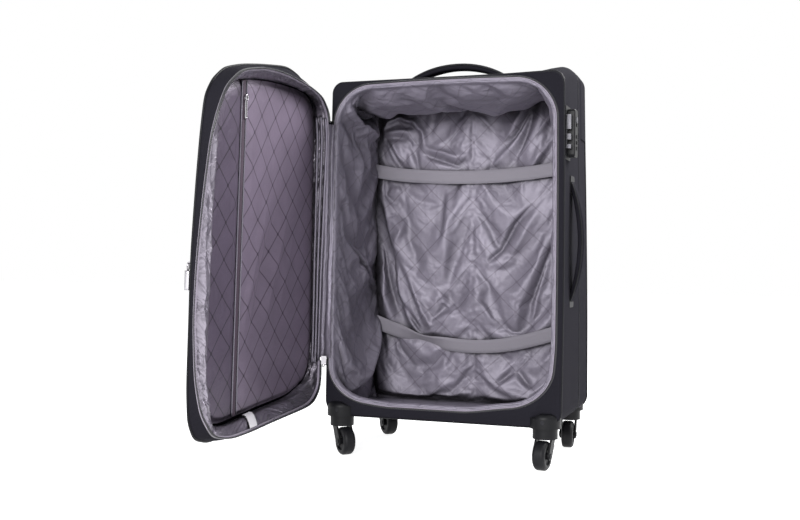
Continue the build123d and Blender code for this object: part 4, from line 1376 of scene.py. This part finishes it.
class SUITCASE_OT_handles(bpy.types.Operator):
    """Make the padded carry handles with their piping and stitches"""

    bl_idname = "suitcase.handles"
    bl_label = "Carry handles"

    def execute(self, context):
        right, up = Vector((1, 0, 0)), Vector((0, 0, 1))
        low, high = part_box("top_handle")
        middle = (low + high) / 2 / MM - right * 5
        self.handle("top_handle_pad", "top_handle", middle, right, up, low.z / MM, span=222, rise=37)
        low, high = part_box("side_handle")
        middle = (low + high) / 2 / MM
        self.handle("side_handle_pad", "side_handle", middle, up, right, low.x / MM, span=200, rise=17)
        dress(moulded_plastic(), "handle_anchors")
        return {"FINISHED"}

    def handle(self, name, node, middle, along, out, base, span, rise, width=30, thickness=11.4):
        """A stuffed fabric handle: an arch that thins towards its sewn ends, with piping down both edges."""
        across = np.array(along.cross(out))
        along, out = np.array(along), np.array(out)
        origin = np.array(middle) - out * np.dot(np.array(middle), out) + out * base
        radius = (span**2 / 4 + rise**2) / (2 * rise)
        limit = math.asin(span / 2 / radius) * 1.04
        rings, edges = [], ([], [])
        for angle in np.linspace(-limit, limit, 64):
            t = abs(angle) / limit
            spot = origin + along * radius * math.sin(angle) + out * (rise - radius + radius * math.cos(angle))
            normal = along * math.sin(angle) + out * math.cos(angle)
            thick = thickness * (1 - 0.45 * t**3)
            wide = width * (1 - 0.10 * math.cos(math.pi * t) ** 2 * (1 - t))
            shape = rounded_loop(wide, thick, thick * 0.42)
            rings.append(spot + np.outer(shape[::3, 0], across) + np.outer(shape[::3, 1], normal))
            for side, row in zip((1, -1), edges):
                row.append(spot + across * side * (wide / 2 - 0.6) + normal * thick * 0.18)
        pad = skin(name + "_body", rings, woven_polyester())
        close_holes(pad, 200)
        cords = [cord(f"{name}_piping_{n}", row, 1.7, piping_vinyl(), sides=8) for n, row in enumerate(edges)]
        piece = join(name, pad, *cords)
        settle(piece, "case", "handle_webbing", node)


# Places round a wire ring
TURN = np.linspace(0, 2 * math.pi, 25)[:-1]


class SUITCASE_OT_zips(bpy.types.Operator):
    """Make the zip coil of the case, the lid's pocket zip and the pulls"""

    bl_idname = "suitcase.zips"
    bl_label = "Zips"

    def execute(self, context):
        nylon, metal = zip_nylon(), zip_metal()
        profile = ((5.2, 0.2), (4.6, 1.5), (2.0, 1.9), (1.0, 0.4))
        tape = skin("zip_tape_ring", slump([ring(mouth_loop(g), FRONT - d) for g, d in profile]), nylon)
        middle = slump(ring(mouth_loop(3.2), FRONT - 2.2))
        coil = studs("zip_coil", [middle], 2.2, (1.3, 0.8, 0.75), nylon, closed=True)
        settle(join("body_zip_half", tape, coil), "case", "zip_tape", "body_zip")
        self.pocket_zip_half(nylon)

        front = lid_path(414.3, np.linspace(-190, 170, 60), 49.5)
        settle(studs("front_pocket_coil", [front], 2.2, (1.0, 1.8, 0.75), nylon), "lid", "zip_tape")
        dress(metal, "upper_main_slider", "upper_main_pull", "lower_main_slider", "front_pocket_slider")
        self.wire_pull(metal)
        self.tab_pull(metal)
        self.loop_pull(metal)
        return {"FINISHED"}

    def pocket_zip_half(self, nylon):
        """The zip down the lid's lining: a tape that widens a little upwards, its coil and a welt on each side."""
        v = np.linspace(-256, 258, 60)
        coil = pocket_zip(v)
        depth = PANEL_DEPTH - 0.6
        near = coil + 1.5
        far = coil + (12.5 + (v + 256) / 514)
        rows = [lid_path(u, v, depth + w) for u, w in ((near, 3), (near, -0.8), (far, -0.8), (far, 3))]
        band = skin("pocket_band", np.transpose(rows, (1, 0, 2)), pocket_tape(), closed=False, flip=True)
        teeth = studs("pocket_coil", [lid_path(coil, v, depth + 0.4)], 1.9, (0.9, 1.6, 0.65), nylon)
        welts = [
            cord(f"pocket_welt_{side}", lid_path(coil + side, v, depth - 0.4), 1.5, pleat_satin()) for side in (-2, 15)
        ]
        settle(join("lid_pocket_zip", band, teeth, *welts), "lid", "zip_tape")

    def loop_pull(self, metal):
        """The short wire loop of the lower main slider."""
        low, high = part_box("lower_main_pull")
        middle = (low + high) / 2 / MM
        top = high.z / MM - 5
        loop = [(middle.x + 2.2 * math.cos(a), middle.y, top + 4.5 * math.sin(a)) for a in TURN]
        pull = cord("lower_pull_loop", loop, 0.8, metal, sides=8, closed=True)
        settle(pull, "lower_main_pull", "zip_metal", "lower_main_pull")

    def wire_pull(self, metal):
        """The pocket zip's slider with its ring, parked near the top, and its pull of bent wire."""
        reach, height, radius = 319.3, 233, 4.0
        circle = lid_path(reach + radius * np.cos(TURN), height + radius * np.sin(TURN), 23.6)
        foot = lid_path((318.6, 318.8), (229.5, 236.5), 26.4)
        ring_piece = cord("pocket_slider_ring", circle, 1.3, metal, sides=8, closed=True)
        body = cord("pocket_slider_body", foot, 3.2, metal, sides=8, flat=0.5, facing=tuple(LID_OUT))
        settle(join("pocket_slider", ring_piece, body), "lid_pocket_slider", "zip_metal", "lid_pocket_slider")
        # The pull hangs below the slider, leaning a little with the zip
        loop = rounded_loop(5.2, 28, 2.4)[::3]
        wire = lid_path(318.3 + loop[:, 0] + loop[:, 1] * 0.06, 215.8 + loop[:, 1], 24.7)
        pull = cord("pocket_wire_pull", wire, 1.1, metal, sides=8, closed=True)
        settle(pull, "lid_pocket_pull", "zip_metal", "lid_pocket_pull")

    def tab_pull(self, metal):
        """The flat tab on a ring that hangs from the outer pocket's slider, past the edge of the lid."""
        link = lid_path(431 + 3 * np.cos(TURN), -17 + 6 * np.sin(TURN), 54.5)
        tab = lid_path(434, np.linspace(-22, -50, 8), 54)
        pieces = [
            cord("tab_pull_link", link, 1.1, metal, sides=8, closed=True),
            cord("tab_pull_tab", tab, 4.0, metal, sides=12, flat=0.35, facing=tuple(LID_X)),
        ]
        settle(join("pocket_tab_pull", *pieces), "front_pocket_pull", "zip_metal", "front_pocket_pull")


class SUITCASE_OT_tags(bpy.types.Operator):
    """Make the blank white tags sewn into the seams"""

    bl_idname = "suitcase.tags"
    bl_label = "Tags"

    def execute(self, context):
        taffeta = tag_taffeta()
        near, wide, slant = 254, 28, 28
        # The lid's tag lies slanted over the gusset at the bottom, from the panel's seam to the rim
        rows = []
        for t in np.linspace(0, 1, 6):
            spots = []
            for reach, lift in ((0.95, 1.5), (0.8, 6.0), (0.6, 7.5), (0.4, 7.0), (0.2, 6.0), (0.04, 4.5)):
                row = lid_inner(reach, lift)
                row = row[(row[:, 1] < -200) & (row[:, 0] > 150)]
                row = row[np.argsort(row[:, 0])]
                at = near + wide * t + slant * (1 - reach)
                spots.append([at, *(np.interp(at, row[:, 0], row[:, axis]) for axis in (1, 2))])
            rows.append(spots)
        tag = skin("lid_tag", lid_place(rows), taffeta, closed=False)
        settle(tag, "lid", "lining_satin")
        x, z = HINGE.x + 3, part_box("lid_hinge")[0].z / MM
        down = np.linspace(0, 1, 5)
        rows = [[(x + a, FRONT - 5.5 - 0.6 * b, z + 3 - 15 * b) for b in down] for a in np.linspace(-5.5, 4.5, 4)]
        tag = settle(skin("hinge_tag", rows, taffeta, closed=False), "case", "lining_satin")
        return {"FINISHED"}


class SUITCASE_OT_hardware(bpy.types.Operator):
    """Finish the lock, trolley, feet and casters"""

    bl_idname = "suitcase.hardware"
    bl_label = "Lock, trolley and casters"

    def execute(self, context):
        plastic = moulded_plastic()
        corners = ("front_left", "front_right", "rear_left", "rear_right")
        dress(plastic, "lock_base", "lock_housing", *(f"lock_dial_{n}" for n in (1, 2, 3)), "side_feet")
        dress(plastic, *(f"trolley_{part}" for part in ("top_cup", "foot_bracket", "grip", "button")))
        dress(plastic, *(f"{c}_{part}" for c in corners for part in ("wheel_housing", "fork")))
        dress(lock_metal(), "lock_receiver", "lock_release", "lock_dial_shaft")
        dress(tube_aluminium(), *(f"trolley_{stage}_tubes" for stage in ("outer", "middle", "inner")))
        dress(wheel_rubber(), *(f"{c}_wheel" for c in corners))
        dress(screw_steel(), "housing_screws", *(f"{c}_axle" for c in corners))
        return {"FINISHED"}


def seen_rays(tree, path):
    """1 on rays from the camera and on those that metal and glass send on."""
    seen = path.outputs["Is Camera Ray"]
    for ray in ("Is Glossy Ray", "Is Transmission Ray"):
        seen = add(tree, "ShaderNodeMath", {0: seen, 1: path.outputs[ray]}, operation="MAXIMUM").outputs[0]
    return seen


class SUITCASE_OT_stage(bpy.types.Operator):
    """Make the floor, the studio light and the camera"""

    bl_idname = "suitcase.stage"
    bl_label = "Stage"

    def execute(self, context):
        scene = context.scene
        scene.view_settings.view_transform = "Standard"
        self.floor()
        self.backdrop(scene)
        self.lamps(scene)
        self.camera(scene)
        return {"FINISHED"}

    def floor(self):
        """A floor of matt pale paint that takes shadows and runs into the white backdrop."""
        floor_paint, tree, shader = finish(
            "studio floor", {"Base Color": (0.82, 0.82, 0.82), "Roughness": 0.9, "Specular IOR Level": 0.1}
        )
        path = add(tree, "ShaderNodeLightPath")
        glow = add(tree, "ShaderNodeEmission", {"Color": (1, 1, 1, 1), "Strength": 0.9})
        off = add(tree, "ShaderNodeBsdfTransparent", {"Color": (0, 0, 0, 1)})
        shown = add(tree, "ShaderNodeMixShader", {0: seen_rays(tree, path), 1: off.outputs[0], 2: glow.outputs[0]})
        both = add(tree, "ShaderNodeAddShader", {0: shader.outputs[0], 1: shown.outputs[0]})
        tree.links.new(both.outputs[0], tree.nodes["Material Output"].inputs["Surface"])
        rows = [[(-9000, -7000, 0), (9000, -7000, 0)], [(-9000, 9000, 0), (9000, 9000, 0)]]
        skin("studio_floor", rows, floor_paint, closed=False)

    def backdrop(self, scene):
        """A white backdrop that itself gives only a little cool light."""
        world = bpy.data.worlds.new("studio")
        scene.world = world
        world.use_nodes = True
        tree = world.node_tree
        path = add(tree, "ShaderNodeLightPath")
        plain = add(tree, "ShaderNodeBackground", {"Color": (0.9, 0.93, 1.0, 1), "Strength": 0.16})
        white = add(tree, "ShaderNodeBackground", {"Color": (1, 1, 1, 1), "Strength": 1.0})
        mix = add(tree, "ShaderNodeMixShader", {0: seen_rays(tree, path), 1: plain.outputs[0], 2: white.outputs[0]})
        tree.links.new(mix.outputs[0], tree.nodes["World Output"].inputs["Surface"])

    def lamps(self, scene):
        """Soft lamps: place and aim in metres, size and power."""
        for name, place, aim, size, power in (
            ("key", (-0.1, -2.9, 1.2), (-0.02, 0, 0.38), 1.0, 84),
            ("fill", (1.6, -2.2, 0.8), (0, 0, 0.35), 1.6, 5),
            ("over the case", (1.1, 0.7, 1.7), (-0.25, -0.35, 0.5), 0.9, 58),
            ("back", (-0.8, 2.4, 1.8), (0, 0, 0.35), 1.6, 8),
        ):
            lamp = bpy.data.lights.new(name, "AREA")
            lamp.size = size
            lamp.energy = power
            item = bpy.data.objects.new(name, lamp)
            turn = (Vector(aim) - Vector(place)).to_track_quat("-Z", "Y")
            item.matrix_world = Matrix.Translation(place) @ turn.to_matrix().to_4x4()
            scene.collection.objects.link(item)

    def camera(self, scene):
        """The camera, with its place and turns worked out from the straight edges in the photograph."""
        yaw, pitch, roll = math.radians(19.40), math.radians(-0.12), math.radians(0.52)
        ahead = Vector((-math.sin(yaw) * math.cos(pitch), math.cos(yaw) * math.cos(pitch), math.sin(pitch)))
        right = Vector((math.cos(yaw), math.sin(yaw), 0))
        up = right.cross(ahead)
        right, up = right * math.cos(roll) + up * math.sin(roll), up * math.cos(roll) - right * math.sin(roll)
        lens = bpy.data.cameras.new("photo camera")
        # The focal length is 1016 pixels in a picture 800 wide
        lens.sensor_width = 36
        lens.lens = lens.sensor_width * 1016 / 800
        camera = bpy.data.objects.new("photo camera", lens)
        turn = Matrix((right, up, -ahead)).transposed().to_4x4()
        camera.matrix_world = Matrix.Translation((0.526, -1.830, 0.357)) @ turn
        scene.collection.objects.link(camera)
        scene.camera = camera


PIECES = (
    SUITCASE_OT_shell,
    SUITCASE_OT_lining,
    SUITCASE_OT_straps,
    SUITCASE_OT_lid,
    SUITCASE_OT_hinge,
    SUITCASE_OT_handles,
    SUITCASE_OT_zips,
    SUITCASE_OT_tags,
    SUITCASE_OT_hardware,
    SUITCASE_OT_stage,
)


class SUITCASE_PT_pieces(bpy.types.Panel):
    """Lists the pieces of the suitcase"""

    bl_idname = "SUITCASE_PT_pieces"
    bl_label = "Suitcase"
    bl_space_type = "VIEW_3D"
    bl_region_type = "UI"
    bl_category = "Suitcase"

    def draw(self, context):
        for group in (context.scene.suitcase_sizes, context.scene.suitcase_colours):
            for key in group.__annotations__:
                self.layout.prop(group, key)
        for piece in PIECES:
            self.layout.operator(piece.bl_idname)


def register():
    for item in (SuitcaseSizes, SuitcaseColours, *PIECES, SUITCASE_PT_pieces):
        bpy.utils.register_class(item)
    bpy.types.Scene.suitcase_sizes = bpy.props.PointerProperty(type=SuitcaseSizes)
    bpy.types.Scene.suitcase_colours = bpy.props.PointerProperty(type=SuitcaseColours)


def unregister():
    del bpy.types.Scene.suitcase_sizes
    del bpy.types.Scene.suitcase_colours
    for item in reversed((SuitcaseSizes, SuitcaseColours, *PIECES, SUITCASE_PT_pieces)):
        bpy.utils.unregister_class(item)


def main():
    register()
    bpy.ops.suitcase.shell()
    bpy.ops.suitcase.lining()
    bpy.ops.suitcase.straps()
    bpy.ops.suitcase.lid()
    bpy.ops.suitcase.hinge()
    bpy.ops.suitcase.handles()
    bpy.ops.suitcase.zips()
    bpy.ops.suitcase.tags()
    bpy.ops.suitcase.hardware()
    bpy.ops.suitcase.stage()


if __name__ == "__main__":
    main()
